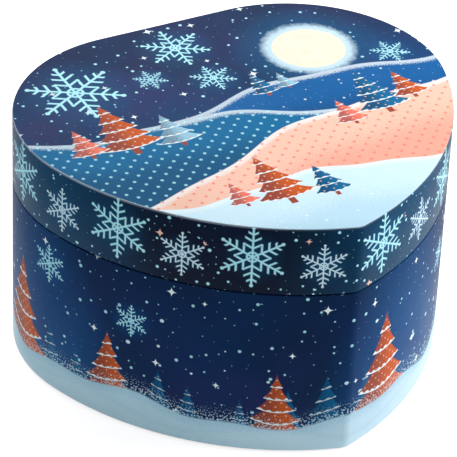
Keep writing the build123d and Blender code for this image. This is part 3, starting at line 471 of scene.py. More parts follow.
# Print on top of the lid: a moonlit valley. Across is X, up the picture is +Y.
topPrint = {
    "clouds": 42, "blue": (0.3, 1.5), "glowTop": 34, "glowReach": 80, "dusk": 30, "violet": (0.4, 3),
    "violetCover": 0.6, "dots": (5, 0.62), "pointedStars": (22, 2.6),
    "flakes": ((-50, 24, 17), (-4, 37, 12), (-1, 13, 8), (-22, 21, 6), (66, 3, 7)), "halo": (0.7, 1.3, 0.4),
    "flakeBlur": 0.25,
    "moon": (40, 17, 13.5), "moonHalo": (9, 16, 0.4), "moonRing": (3.2, 3.2, 0.85), "fuzz": (2.4, 3, 0.7),
    "fuzzBy": 4, "moonFace": (9, 3), "faceCover": 0.6, "moonBlur": 0.5,
    "hills": (    # height, slope, wave, beat, start, ink, dots, firs: x, foot, height, half width, tiers, ink
        (-3, 0.03, 4.5, 0.052, 0.4, "glow", None, ((12, -4, 15, 5, 4, "teal"), (21, -3, 10, 4, 3, "shade"))),
        (-15, -0.2, 4, 0.06, 2.2, "teal", "mint", (
            (-47, -17, 30, 11, 5, "rust"), (-30, -20, 19, 7.5, 4, "shade"), (-62, -15, 17, 6.5, 4, "coral"),
        )),
        (-33, 0.24, 4.5, 0.05, 0.9, "peach", "coral", (
            (46, -30, 26, 9.5, 5, "teal"), (59, -26, 17, 6.5, 4, "rust"), (31, -33, 15, 6, 4, "coral"),
        )),
        (-57, -0.06, 3.2, 0.075, 1.4, "ice", None, (
            (-13, -66, 28, 10, 5, "rust"), (3, -69, 18, 6.5, 4, "teal"), (-28, -63, 14, 5.5, 4, "coral"),
        )),
    ),
    "ripple": (0.25, 2.7), "shadows": {"ice": "shade", "peach": "coral"}, "shadow": (4, 34, 0.45),
    "frost": (1.1, 4, 0.6), "hillDots": (4.2, 0.62), "hillStars": (4.4, 0.5), "hillCover": 0.7,
    "hillBlur": 0.4, "firDots": {"shade": "coral"},
    "edge": 93.99, "edgeWearAndHighlight": (30, 2, 0.1), "leftWeight": (35, 40, 0.75),
}


def printTop():
    finish = newFinish("printedTopPaper")
    spot = finish.place()
    x, y, z = finish.split(spot)
    plane = finish.add("CombineXYZ", {}, [x, y, 0])
    clouds = finish.noise(plane, topPrint["clouds"])
    speck = finish.noise(plane, *airbrush["grain"])
    colour = finish.mix(above(clouds, *topPrint["blue"]), night["deep"], night["sky"])
    glow = (topPrint["glowTop"] - y) / topPrint["glowReach"] | 0
    colour = finish.mix(glow * clouds, colour, night["glow"])
    dusk = above(finish.noise(plane, topPrint["dusk"]), *topPrint["violet"])
    colour = finish.mix(dusk * topPrint["violetCover"], colour, night["violet"])
    colour = finish.mix(starDots(finish, plane, *topPrint["dots"]), colour, night["mint"])
    colour = finish.mix(pointedStars(finish, plane, *topPrint["pointedStars"]), colour, night["white"])
    for flakeX, flakeY, reach in topPrint["flakes"]:
        shape, away = snowflake((x - flakeX) / reach, (y - flakeY) / reach)
        colour = finish.mix(halo(away, *topPrint["halo"]), colour, night["teal"])
        colour = finish.mix(fill(shape, topPrint["flakeBlur"] / reach), colour, night["mint"])

    # Moon, with a soft ring round it
    moonX, moonY, moonRadius = topPrint["moon"]
    away = span(x - moonX, y - moonY) - moonRadius
    fuzz = finish.noise(plane, *topPrint["fuzz"]) - 0.5
    colour = finish.mix(halo(away, *topPrint["moonHalo"]), colour, night["teal"])
    colour = finish.mix(halo(away + topPrint["fuzzBy"] * fuzz, *topPrint["moonRing"]), colour, night["ice"])
    marks = finish.noise(plane, *topPrint["moonFace"])
    face = finish.mix(marks * topPrint["faceCover"], night["moon"], night["peach"])
    colour = finish.mix(fill(away, topPrint["moonBlur"]), colour, face)

    # Hills, from far to near, each with its own trees: the height of each is a line with two waves on it
    rippleShare, rippleBeat = topPrint["ripple"]
    shadowStart, shadowReach, shadowCover = topPrint["shadow"]
    frostFirst, frostReach, frostCover = topPrint["frost"]
    for height, slope, wave, beat, start, body, dots, firs in topPrint["hills"]:
        ripple = wave * rippleShare * sine(x * (beat * rippleBeat) + start)
        edge = y - height - slope * x - wave * sine(x * beat + start) - ripple
        dark = night[topPrint["shadows"].get(body, "deep")]
        shadow = spray(speck, (0 - edge - shadowStart) / shadowReach)
        tone = finish.mix(shadow * shadowCover, night[body], dark)
        tone = finish.mix(spray(speck, frostFirst + edge / frostReach) * frostCover, tone, night["white"])
        if dots:
            pattern = lattice(x, y, *topPrint["hillDots"])
        else:
            pattern = starDots(finish, plane, *topPrint["hillStars"])
        tone = finish.mix(pattern * topPrint["hillCover"], tone, night[dots or "white"])
        colour = finish.mix(fill(edge, topPrint["hillBlur"]), colour, tone)
        for firX, foot, tall, spread, tiers, leaf in firs:
            colour = drawFir(finish, colour, x - firX, y - foot, tall, spread, tiers, night[leaf], speck,
                             topPrint["firDots"].get(leaf, "peach"))

    # The sheet's cut edge shows pale worn core, also a painted edge highlight, strongest on the left
    size, gain, least = topPrint["edgeWearAndHighlight"]
    cut = (z < topPrint["edge"]) * (finish.noise(spot, size) * gain - least | 0)
    return paperFinish(finish, colour, spot, cut * leftWeighted(x, *topPrint["leftWeight"]))


prints = {"base": printBase(), "rim": printRim(), "top": printTop()}
print("prints ready:", [len(finish.tree.nodes) for finish in prints.values()], "nodes")

# Heart-shaped outline, in millimetres, the same as the boards'
heart = {"lobe": 54, "backHalf": 26, "flank": 112, "flankStart": radians(-17), "tip": 6, "leastTip": 1,
         "lobeSteps": 54, "flankSteps": 44, "tipSteps": 6}
sideX = heart["backHalf"] - (heart["flank"] - heart["lobe"]) * cos(heart["flankStart"])
sideY = -(heart["flank"] - heart["lobe"]) * sin(heart["flankStart"])


def tipOf(inset):    # radius, centre and start angle of the rounded tip
    radius = max(heart["tip"] - inset, heart["leastTip"])
    centre = sideY - sqrt((heart["flank"] - inset - radius) ** 2 - sideX ** 2)
    return radius, centre, atan2(centre - sideY, -sideX)


def heartRing(bm, inset, z):    # half the outline is spun from the middle of the back, then mirrored
    lobe = heart["lobe"] - inset
    _, tipY, tipStart = tipOf(inset)
    start = bm.verts.new(Vector((0, lobe, z)) * mm)
    last = bm.verts.new(Vector((heart["backHalf"], lobe, z)) * mm)
    bm.edges.new((start, last))
    for centre, sweep, steps in (
        ((heart["backHalf"], 0, z), heart["flankStart"] - pi / 2, heart["lobeSteps"]),
        ((sideX, sideY, z), tipStart - heart["flankStart"], heart["flankSteps"]),
        ((0, tipY, z), -pi / 2 - tipStart, heart["tipSteps"]),
    ):
        spun = bmesh.ops.spin(bm, geom=[last], cent=Vector(centre) * mm, axis=(0, 0, 1), angle=sweep,
                              steps=steps)
        last = spun["geom_last"][0]
    bmesh.ops.mirror(bm, geom=bm.verts[:] + bm.edges[:], matrix=Matrix(), merge_dist=weldGap, axis="X")
    return bm.edges[:]


# For a point at x >= 0: the distance round the outline from the tip, the way out, and the inset
def roundHeart(x, y):
    tip, tipY, tipStart = tipOf(0)
    tipLength = tip * (tipStart + pi / 2)
    flankLength = heart["flank"] * (heart["flankStart"] - tipStart)
    if y > 0 and x <= heart["backHalf"]:
        return basePrint["around"] / 2 - x, Vector((0, 1, 0)), heart["lobe"] - y
    for centreX, centreY, radius, start, before in (
        (heart["backHalf"], 0, heart["lobe"], heart["flankStart"], tipLength + flankLength),
        (sideX, sideY, heart["flank"], tipStart, tipLength), (0, tipY, tip, -pi, 0),
    ):
        angle = atan2(y - centreY, x - centreX)
        if angle >= start:
            inset = radius - sqrt((x - centreX) ** 2 + (y - centreY) ** 2)
            along = before + radius * (angle - max(start, -pi / 2))
            return along, Vector((cos(angle), sin(angle), 0)), inset


def heartShell(profile, closed):    # the outline, extruded through a profile of insets and heights
    bm = bmesh.new()
    (inset, z), *rest = profile
    first = ring = heartRing(bm, inset, z)
    for nextInset, nextZ in rest + ([profile[0]] if closed else []):
        grown = bmesh.ops.extrude_edge_only(bm, edges=ring)["geom"]
        fresh = {part for part in grown if isinstance(part, bmesh.types.BMVert)}
        for vert in fresh:
            x, y, _ = vert.co / mm
            out = roundHeart(abs(x), y)[1] * (inset - nextInset)
            vert.co += Vector((out.x if x > 0 else -out.x, out.y, nextZ - z)) * mm
        ring = [part for part in grown
                if isinstance(part, bmesh.types.BMEdge) and fresh.issuperset(part.verts)]
        inset, z = nextInset, nextZ
    if closed:
        bmesh.ops.remove_doubles(bm, verts=bm.verts, dist=weldGap)
    else:
        for loop in (first, ring):
            bmesh.ops.contextual_create(bm, geom=loop)
    bmesh.ops.recalc_face_normals(bm, faces=bm.faces)
    return bm


def layPrint(bm, middle):    # paper laid flat: metres round the box, and metres up, on over its folds
    layer = bm.loops.layers.uv.new("print")
    for face in bm.faces:
        side = 1 if face.calc_center_median().x > 0 else -1
        for loop in face.loops:
            x, y, z = loop.vert.co / mm
            along, _, inset = roundHeart(abs(x), y)
            loop[layer].uv = side * along * mm, (z + inset if z > middle else z - inset) * mm


def makePiece(bm, name, finish, body, slot, *replaced, sharp=32):
    for face in bm.faces:
        face.smooth = True
    mesh = bpy.data.meshes.new(name)
    bm.to_mesh(mesh)
    bm.free()
    mesh.set_sharp_from_angle(angle=radians(sharp))
    mesh.materials.append(finish.material)
    piece = bpy.data.objects.new(name, mesh)
    bpy.context.scene.collection.objects.link(piece)
    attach(piece, body)
    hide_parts(*replaced)
    return piece


def carve(piece, bm):    # takes the shape in bm out of a piece
    mesh = bpy.data.meshes.new("cutter")
    bm.to_mesh(mesh)
    bm.free()
    cutter = bpy.data.objects.new("cutter", mesh)
    bpy.context.scene.collection.objects.link(cutter)
    cut = piece.modifiers.new("cut", "BOOLEAN")
    cut.object = cutter
    cut.solver = "EXACT"
    graph = bpy.context.evaluated_depsgraph_get()
    carved = bpy.data.meshes.new_from_object(piece.evaluated_get(graph))
    piece.modifiers.clear()
    piece.data = carved
    bpy.data.objects.remove(cutter)


drill = {"segments": 40, "depth": 12}


def drills(holes, axis):    # cutters for round holes along an axis, given as a point and a radius
    bm = bmesh.new()
    turned = Matrix.Rotation(pi / 2, 4, "X") if axis == "Y" else Matrix()
    for spot, radius in holes:
        bmesh.ops.create_cone(
            bm, cap_ends=True, segments=drill["segments"], radius1=radius * mm, radius2=radius * mm,
            depth=drill["depth"] * mm, matrix=Matrix.Translation(Vector(spot) * mm) @ turned)
    return bm


# Printed paper: rings of inset and height go round the paper's thickness, with its folds rounded
paper = {
    "base": ((5, 0.8), (0.5, 0.8), (0.15, 0.95), (0, 1.3), (0, 66.3), (0.15, 66.65), (0.5, 66.8), (3.9, 66.8),
             (3.9, 66.5), (0.6, 66.5), (0.3, 66.2), (0.3, 1.4), (0.6, 1.1), (5, 1.1)),
    "lid": ((3.9, 67.2), (0.5, 67.2), (0.15, 67.35), (0, 67.7), (0, 93.45), (0.07, 93.63), (0.25, 93.7),
            (5, 93.7), (5, 93.4), (0.6, 93.4), (0.3, 93.1), (0.3, 67.8), (0.6, 67.5), (3.9, 67.5)),
    "sheet": ((0.15, 93.7), (0.15, 93.88), (0.2, 93.96), (0.3, 94)),
    "baseMiddle": 34, "lidMiddle": 80,
}
hingeAcross = (-19.5, -10.5, 10.5, 19.5)
backHoles = {    # x and z of each
    "key": ((0, 20.6),), "movement": ((-20, 34.6), (20, 34.6), (0, 7.6)),
    "baseHinge": tuple((x, 61.2) for x in hingeAcross), "lidHinge": tuple((x, 72.8) for x in hingeAcross),
}
holeRadius = {"key": 4.1, "movement": 1.3, "baseHinge": 0.72, "lidHinge": 0.72}


def throughBack(*names):    # cutters for holes in the paper on the back
    holes = [((x, heart["lobe"], z), holeRadius[name]) for name in names for x, z in backHoles[name]]
    return drills(holes, "Y")


bm = heartShell(paper["base"], True)
layPrint(bm, paper["baseMiddle"])
basePaper = makePiece(bm, "basePaper", prints["base"], "case", "printed_paper", "base_wrap")
carve(basePaper, throughBack("baseHinge", "movement", "key"))

bm = heartShell(paper["lid"], True)
layPrint(bm, paper["lidMiddle"])
lidPaper = makePiece(bm, "lidPaper", prints["rim"], "lid", "printed_paper", "lid_wrap")
carve(lidPaper, throughBack("lidHinge"))

bm = heartShell(paper["sheet"], False)
makePiece(bm, "lidSheet", prints["top"], "lid", "printed_paper", "lid_sheet")
print("printed paper laid")

# Finishes of the other pieces, on the record's own colours
slotColour = {entry["slot"]: (*entry["base_color"], 1) for entry in frame["record"]["materials"]}

board = {"pulp": (0.7, 4, 0.7), "dark": 0.3, "flecks": (1.4, 1, 0.196, 0.084), "fleckCover": 0.6,
         "pale": ink(212, 204, 188), "shader": {"Specular IOR Level": 0.15}, "rough": (0.86, 0.1),
         "bump": (0.35, 0.00012)}


def boardFinish():    # raw grey board: pressed pulp with pale flecks
    finish = newFinish("greyBoard")
    spot = finish.place()
    pulp = finish.noise(spot, *board["pulp"])
    grey = slotColour["greyboard"]
    colour = finish.mix(pulp, blended(board["dark"], grey, black), grey)
    flecks = scattered(finish, spot, *board["flecks"])
    colour = finish.mix(flecks * board["fleckCover"], colour, board["pale"])
    return finish.finishWith(colour, raised(pulp, *board["rough"]), board["shader"], (pulp, *board["bump"]))


lining = {"fibre": (0.5, 3), "patch": (16, 3, 0.6), "dots": (6.4, 0.6, 0.8, 0.3), "dotCover": 0.9,
          "shade": ink(188, 216, 230), "pale": ink(250, 252, 253), "shader": {"Specular IOR Level": 0.25},
          "rough": (0.58, 0.16), "bump": (0.2, 0.00005)}


def liningFinish(name, slot):    # lining paper with small scattered dots
    finish = newFinish(name)
    spot = finish.place()
    fibre = finish.noise(spot, *lining["fibre"])
    colour = finish.mix(finish.noise(spot, *lining["patch"]), slotColour[slot], lining["shade"])
    dots = scattered(finish, spot, *lining["dots"])
    colour = finish.mix(dots * lining["dotCover"], colour, lining["pale"])
    return finish.finishWith(colour, raised(fibre, *lining["rough"]), lining["shader"],
                             (fibre, *lining["bump"]))


felt = {"pile": (0.28, 4, 0.75), "brushed": (7, 3, 0.6), "hair": (0.7, 5, 0.75), "hairPull": (0.35, 1, 1),
        "dark": 0.5, "pileCover": 0.55, "brushedCover": 0.3, "pale": 0.45, "hairHalf": 0.012,
        "hairBlur": 0.02, "hairCover": 0.3, "hairLift": 0.5, "rough": (0.92, 0.08), "bump": 0.6,
        "fuzz": {"underside_felt": 0.16, "flock": 0.1},
        "shader": {"Specular IOR Level": 0.08, "Sheen Weight": 0.3, "Sheen Roughness": 0.45}}


def feltFinish(name, slot):    # matted fibres: a fine pile, brushed patches and a few stray pale hairs
    finish = newFinish(name)
    spot = finish.place()
    pile = finish.noise(spot, *felt["pile"])
    brushed = finish.noise(spot, *felt["brushed"])
    hair = finish.noise(finish.stretch(spot, *felt["hairPull"]), *felt["hair"])
    dye = slotColour[slot]
    shaded = pile * felt["pileCover"] + brushed * felt["brushedCover"]
    colour = finish.mix(shaded, dye, blended(felt["dark"], dye, black))
    hairs = fill(abs(hair - 0.5) - felt["hairHalf"], felt["hairBlur"]) * felt["hairCover"]
    colour = finish.mix(hairs, colour, blended(felt["pale"], dye, white))
    return finish.finishWith(colour, raised(pile, *felt["rough"]), felt["shader"],
                             (pile + hair * felt["hairLift"], felt["bump"], felt["fuzz"][slot] * mm))


metals = {    # roughness; squeeze, width and depth of tool marks; tarnish all over and in patches, its colour
    "hinge_brass": (0.16, (0.15, 1, 1), 0.22, 0.006, 0.1, 0.8, ink(176, 128, 60)),
    "key_steel": (0.12, (1, 0.4, 1), 0.3, 0.001, 0.45, 0.25, ink(140, 140, 146)),
    "frame_metal": (0.34, (1, 1, 1), 0.7, 0.06, 0, 0.9, ink(150, 118, 66)),
    "movement_steel": (0.24, (1, 0.12, 1), 0.18, 0.006, 0, 0.9, ink(122, 124, 130)),
    "movement_brass": (0.2, (0.12, 0.12, 1), 0.2, 0.006, 0, 0.9, ink(170, 124, 58)),
    "star_gilt": (0.3, (1, 1, 0.4), 0.5, 0.02, 0, 0.9, ink(196, 134, 44)),
}
metalWear = {"marks": (3, 0.6), "stain": (3.5, 4, 0.65), "bare": 0.35, "stainRough": 0.16, "markRough": 0.1,
             "bump": 0.5}


def metalFinish(slot):    # tool marks one way, and a little tarnish in patches
    smooth, squeeze, width, depth, allOver, patches, tarnish = metals[slot]
    first, *others = slot.split("_")
    finish = newFinish(first + "".join(word.title() for word in others))
    spot = finish.place()
    marks = finish.noise(finish.stretch(spot, *squeeze), width, *metalWear["marks"])
    stain = finish.noise(spot, *metalWear["stain"])
    colour = finish.mix((stain - metalWear["bare"]) * patches + allOver | 0, slotColour[slot], tarnish)
    roughness = smooth + metalWear["stainRough"] * stain + metalWear["markRough"] * marks
    return finish.finishWith(colour, roughness, {"Metallic": 1}, (marks, metalWear["bump"], depth * mm))


mirror = {"wipe": (5, 4, 0.6), "pull": (1, 0.25, 1), "haze": 0.12, "grey": ink(196, 208, 214),
          "rough": (0.015, 0.035)}


def mirrorFinish():    # silvered glass with faint wiping marks
    finish = newFinish("mirrorGlass")
    wipe = finish.noise(finish.stretch(finish.place(), *mirror["pull"]), *mirror["wipe"])
    colour = finish.mix(wipe * mirror["haze"], slotColour["mirror_glass"], mirror["grey"])
    return finish.finishWith(colour, raised(wipe, *mirror["rough"]), {"Metallic": 1})


fan = {"grain": (0.18, 3, 0.6), "flow": 3, "flowCover": 0.5, "pale": ink(64, 64, 68), "rough": (0.42, 0.2),
       "bump": (0.3, 0.00002)}


def fanFinish():    # moulded plastic with a fine spark-eroded grain
    finish = newFinish("fanPlastic")
    spot = finish.place()
    grain = finish.noise(spot, *fan["grain"])
    flow = finish.noise(spot, fan["flow"])
    colour = finish.mix(flow * fan["flowCover"], slotColour["fan_plastic"], fan["pale"])
    return finish.finishWith(colour, raised(grain, *fan["rough"]), {}, (grain, *fan["bump"]))


paint = {"brush": (0.6, 3, 0.6), "pull": (1, 1, 0.2), "brushCover": 0.8, "dark": 0.55, "thin": (2.4, 4, 0.7),
         "bare": 0.68, "bareBlur": 0.03, "bareCover": 0.5, "wood": ink(196, 160, 116),
         "shader": {"Specular IOR Level": 0.4}, "rough": (0.36, 0.2), "bump": (0.35, 0.00006)}


def startPaint(name):    # brushed paint on turned wood, thin in places
    finish = newFinish(name)
    spot = finish.place()
    brush = finish.noise(finish.stretch(spot, *paint["pull"]), *paint["brush"])
    thin = finish.noise(spot, *paint["thin"])
    green = slotColour["figurine_wood"]
    colour = finish.mix(brush * paint["brushCover"], green, blended(paint["dark"], green, night["deep"]))
    bare = fill(paint["bare"] - thin, paint["bareBlur"]) * paint["bareCover"]
    return finish, spot, finish.mix(bare, colour, paint["wood"]), brush


def paintFinish():
    finish, _, colour, brush = startPaint("paintedWood")
    return finish.finishWith(colour, raised(brush, *paint["rough"]), paint["shader"], (brush, *paint["bump"]))


finishes = {
    "greyboard": boardFinish(), "lining_paper": liningFinish("liningPaper", "lining_paper"),
    "stage_board": liningFinish("stagePaper", "stage_board"), "mirror_glass": mirrorFinish(),
    "underside_felt": feltFinish("undersideFelt", "underside_felt"), "flock": feltFinish("flock", "flock"),
    "fan_plastic": fanFinish(), "figurine_wood": paintFinish(),
    **{slot: metalFinish(slot) for slot in metals},
}
for entry in frame["record"]["subparts"]:
    if entry["material_slot"] in finishes:
        for holder in frame["nodes"][entry["node"]].material_slots:
            holder.material = finishes[entry["material_slot"]].material
print("finishes ready:", len(finishes))

# Soft edges on the rigid nodes that show, in millimetres
softEdges = {
    "stage_cover": 0.5, "divider_left": 0.5, "divider_right": 0.5, "lid_panel": 0.5, "stop_striker": 0.4,
    "hinge_pin_left": 0.15, "hinge_pin_right": 0.15, "winding_key": 0.2,
}
sharpEdge = radians(40)
for name, width in softEdges.items():
    node = frame["nodes"][name]
    weld = node.modifiers.new("weld", "WELD")
    weld.merge_threshold = weldGap
    soften = node.modifiers.new("soften", "BEVEL")
    soften.width = width * mm
    soften.segments = 3
    soften.limit_method = "ANGLE"
    soften.angle_limit = sharpEdge
    soften.harden_normals = True
print("edges softened:", len(softEdges))

# Hinge leaves: copies of the nodes with their outer edges rounded, and their holes left sharp
hinges = {
    "lidLeafLeft": ("hinge_lid_leaf_left", "lid"), "lidLeafRight": ("hinge_lid_leaf_right", "lid"),
    "baseLeafLeft": ("hinge_base_leaf_left", "case"), "baseLeafRight": ("hinge_base_leaf_right", "case"),
}
hingeEdge = {"round": 0.16, "pin": (56.05, 67), "spared": 1.2, "flat": radians(1), "sliver": 1e-7}


def fromBores(spot):    # distance of a point from the nearest screw hole's axis or from the pin's
    x, y, z = spot / mm
    holes = backHoles["baseHinge"] + backHoles["lidHinge"]
    bores = [Vector((x - holeX, z - holeZ)).length for holeX, holeZ in holes]
    return min(*bores, (Vector((y, z)) - Vector(hingeEdge["pin"])).length)


for name, (node, body) in hinges.items():
    bm = bmesh.new()
    bm.from_mesh(frame["nodes"][node].data)
    bmesh.ops.remove_doubles(bm, verts=bm.verts, dist=weldGap)
    bmesh.ops.dissolve_limit(bm, angle_limit=hingeEdge["flat"], verts=bm.verts, edges=bm.edges)
    outer = [edge for edge in bm.edges if edge.is_manifold and edge.calc_face_angle() > sharpEdge
             and fromBores((edge.verts[0].co + edge.verts[1].co) / 2) > hingeEdge["spared"]]
    bmesh.ops.bevel(bm, geom=outer, offset=hingeEdge["round"] * mm, affect="EDGES", segments=3, profile=0.5,
                    material=-1, clamp_overlap=True)
    bmesh.ops.triangulate(bm, faces=bm.faces)
    bmesh.ops.remove_doubles(bm, verts=bm.verts, dist=hingeEdge["sliver"])    # slivers where bevels meet
    makePiece(bm, name, finishes["hinge_brass"], body, "hinge_brass", node)
print("hinge leaves rounded:", len(hinges))

# Felt and flock: thin pads with rounded edges, the floor's cut away for the stage
pads = {
    "underFelt": ((2.8, 0.8), (2.5, 0.6), (2.5, 0.2), (2.6, 0.05), (2.9, 0)),
    "floorFlock": ((5.1, 4.1), (5.1, 4.85), (5.2, 5.03), (5.4, 5.1)),
    "stage": ((-30.1, 30.1), (10.11, 54), (0, 10)),
    "stageFlock": ((-30, 30), (10.21, 48.8), (43.6, 44.4)), "stageMiddle": 44, "stageEdge": 0.3,
    "stageHoles": (((0, 27.3, 44), 3.1), ((-17.62, 46.5, 44), 1.7)),
}


def block(bm, *spans):    # a box from its spans along X, Y and Z
    middle = Vector([(low + high) / 2 for low, high in spans]) * mm
    size = Matrix.Diagonal([(high - low) * mm for low, high in spans] + [1])
    return bmesh.ops.create_cube(bm, size=1, matrix=Matrix.Translation(middle) @ size)["verts"]


bm = heartShell(pads["underFelt"], False)
makePiece(bm, "underFelt", finishes["underside_felt"], "case", "underside_felt", "base_felt")
bm = heartShell(pads["floorFlock"], False)
floorFlock = makePiece(bm, "floorFlock", finishes["flock"], "case", "flock", "floor_pad")
bm = bmesh.new()
block(bm, *pads["stage"])
carve(floorFlock, bm)
bm = bmesh.new()
block(bm, *pads["stageFlock"])
upper = [edge for edge in bm.edges if all(vert.co.z > pads["stageMiddle"] * mm for vert in edge.verts)]
bmesh.ops.bevel(bm, geom=upper, offset=pads["stageEdge"] * mm, affect="EDGES", segments=3, profile=0.5,
                material=-1)
stageFlock = makePiece(bm, "stageFlock", finishes["flock"], "case", "flock", "stage_felt")
carve(stageFlock, drills(pads["stageHoles"], "Z"))
print("felt and flock laid")

# Figurine: a turned fir with scalloped, snowy hems, and a puffed star on top
firTree = {
    "axis": (0, 27.3), "foot": 48.6, "trunk": 2, "trunkTop": 51.9, "skirt": 51.1, "tier": 6.65,
    "hems": (8.5, 6.61, 4.72, 2.83), "lip": ((0.86, 0.3), (0.96, 0), (1, 0.35)), "lipTop": 0.35,
    "rings": (0.08, 0.16, 0.28, 0.42, 0.58, 0.76, 1), "sweep": 1.25, "waist": 0.42, "tip": 0.9,
    "tuck": (0.96, 0.7), "lobes": (11, 9, 7, 5), "scallop": 0.16, "droop": 0.09, "nudge": 0.01, "steps": 132,
}
treeX, treeY = firTree["axis"]
lastTier = len(firTree["hems"]) - 1


def turnRound(bm, parts, axis, through, steps):    # a full turn about an axis through a point in millimetres
    bmesh.ops.spin(bm, geom=parts, cent=Vector(through) * mm, axis=axis, angle=2 * pi, steps=steps,
                   use_merge=True)


def closeUp(bm):    # a turned shape's seam and poles, and which way its faces point
    bmesh.ops.remove_doubles(bm, verts=bm.verts, dist=weldGap)
    bmesh.ops.recalc_face_normals(bm, faces=bm.faces)


def chain(bm, points):    # joined vertices through points in millimetres
    verts = [bm.verts.new(Vector(point) * mm) for point in points]
    return verts + [bm.edges.new(pair) for pair in zip(verts, verts[1:])]


trunk, foot = firTree["trunk"], firTree["foot"]
profile = [(0, foot), (trunk, foot), (trunk, firTree["trunkTop"])]
for tier, hem in enumerate(firTree["hems"]):
    low = firTree["skirt"] + tier * firTree["tier"]
    waist = firTree["tip"] if tier == lastTier else firTree["waist"] * hem
    profile += [(hem * share, low + lift) for share, lift in firTree["lip"]]
    for ring in firTree["rings"]:    # from the hem up to the waist
        radius = waist + (hem - waist) * (1 - ring) ** firTree["sweep"]
        profile.append((radius, low + firTree["lipTop"] + ring * (firTree["tier"] - firTree["lipTop"])))
    if tier < lastTier:
        tuck, lift = firTree["tuck"]
        profile.append((waist * tuck, low + firTree["tier"] + lift))
profile.append((0, firTree["skirt"] + len(firTree["hems"]) * firTree["tier"]))
bm = bmesh.new()
outline = chain(bm, [(treeX + radius, treeY, z) for radius, z in profile])
turnRound(bm, outline, (0, 0, 1), (treeX, treeY, 0), firTree["steps"])
closeUp(bm)
layer = bm.verts.layers.float.new("bough")
for vert in bm.verts:
    x, y, z = vert.co / mm - Vector((treeX, treeY, 0))
    tier = max(min(int((z - firTree["skirt"] + firTree["nudge"]) / firTree["tier"]), lastTier), 0)
    hem = firTree["hems"][tier]
    away = sqrt(x * x + y * y)
    share = (away / hem - firTree["waist"]) / (1 - firTree["waist"])
    share = min(max(share, 0), 1)    # 1 at the hem, 0 at the waist
    vert[layer] = share
    wave = cos(firTree["lobes"][tier] * atan2(y, x) + tier)
    shrink = 1 - firTree["scallop"] * share ** 2 * (0.5 - 0.5 * wave)
    drop = firTree["droop"] * hem * share ** 2 * (0.5 + 0.5 * wave)
    vert.co = Vector((treeX + x * shrink, treeY + y * shrink, z - drop)) * mm

firPaint = {"snow": (0.8, 0.1), "melt": (1.1, 3, 0.6), "snowBlur": 0.06, "snowColour": ink(240, 246, 250),
            "dots": (3, 0.8, 0.42, 0.2), "barkTop": 51.4, "barkBlur": 0.3, "bark": ink(122, 82, 52),
            "rough": (0.4, 0.2, 0.2), "snowLift": 2, "bump": (0.4, 0.00008)}


def firFinish():    # painted boughs with dots, snow on the hems and a bare trunk
    finish, spot, colour, brush = startPaint("paintedFir")
    share = finish.add("Attribute", {"attribute_name": "bough"}, {}, out="Fac")
    melt = finish.noise(spot, *firPaint["melt"])
    snow = fill(raised(melt, *firPaint["snow"]) - share, firPaint["snowBlur"])
    bark = fill(finish.split(spot)[2] - firPaint["barkTop"], firPaint["barkBlur"])
    colour = finish.mix(scattered(finish, spot, *firPaint["dots"]), colour, night["peach"])
    colour = finish.mix(bark, colour, firPaint["bark"])
    colour = finish.mix(snow, colour, firPaint["snowColour"])
    smooth, brushed, snowy = firPaint["rough"]
    return finish.finishWith(colour, smooth + brushed * brush + snowy * snow, paint["shader"],
                             (brush + snow * firPaint["snowLift"], *firPaint["bump"]))


makePiece(bm, "firFigurine", firFinish(), "cylinder", "figurine_wood", "figurine_tree", sharp=50)

star = {"middle": 81.7, "points": 5, "reach": 3, "notch": 1.4, "half": 0.8, "rim": 0.3, "round": 0.12,
        "stemSpan": (77.7, 81), "stemRadii": (0.74, 0.518), "stemSides": 24}
bm = bmesh.new()
corners = bmesh.ops.create_circle(bm, segments=2 * star["points"], radius=star["reach"] * mm)["verts"]
bmesh.ops.scale(bm, vec=Vector((1, 1, 0)) * star["notch"] / star["reach"], verts=corners[1::2])
face = bmesh.ops.contextual_create(bm, geom=bm.edges[:])["faces"]
bmesh.ops.translate(bm, vec=(0, 0, -star["rim"] * mm), verts=corners)
grown = bmesh.ops.extrude_face_region(bm, geom=face, use_keep_orig=True)["geom"]
raised = [part for part in grown if isinstance(part, bmesh.types.BMVert)]
bmesh.ops.translate(bm, vec=(0, 0, 2 * star["rim"] * mm), verts=raised)
bmesh.ops.recalc_face_normals(bm, faces=bm.faces)
caps = [cap for cap in bm.faces if len(cap.verts) == 2 * star["points"]]
bmesh.ops.poke(bm, faces=caps, offset=(star["half"] - star["rim"]) * mm)
bmesh.ops.bevel(bm, geom=bm.edges[:], offset=star["round"] * mm, affect="EDGES", segments=2, profile=0.5,
                material=-1)
turned = Matrix.Translation(Vector((treeX, treeY, star["middle"])) * mm) @ Matrix.Rotation(pi / 2, 4, "X")
bmesh.ops.transform(bm, matrix=turned, verts=bm.verts)
stemFoot, stemTop = star["stemSpan"]
wide, narrow = star["stemRadii"]
stemMiddle = Vector((treeX, treeY, (stemFoot + stemTop) / 2)) * mm
bmesh.ops.create_cone(
    bm, cap_ends=True, segments=star["stemSides"], radius1=wide * mm, radius2=narrow * mm,
    depth=(stemTop - stemFoot) * mm, matrix=Matrix.Translation(stemMiddle))
makePiece(bm, "starFigurine", finishes["star_gilt"], "cylinder", "star_gilt", "figurine_star", sharp=40)
print("figurine turned")

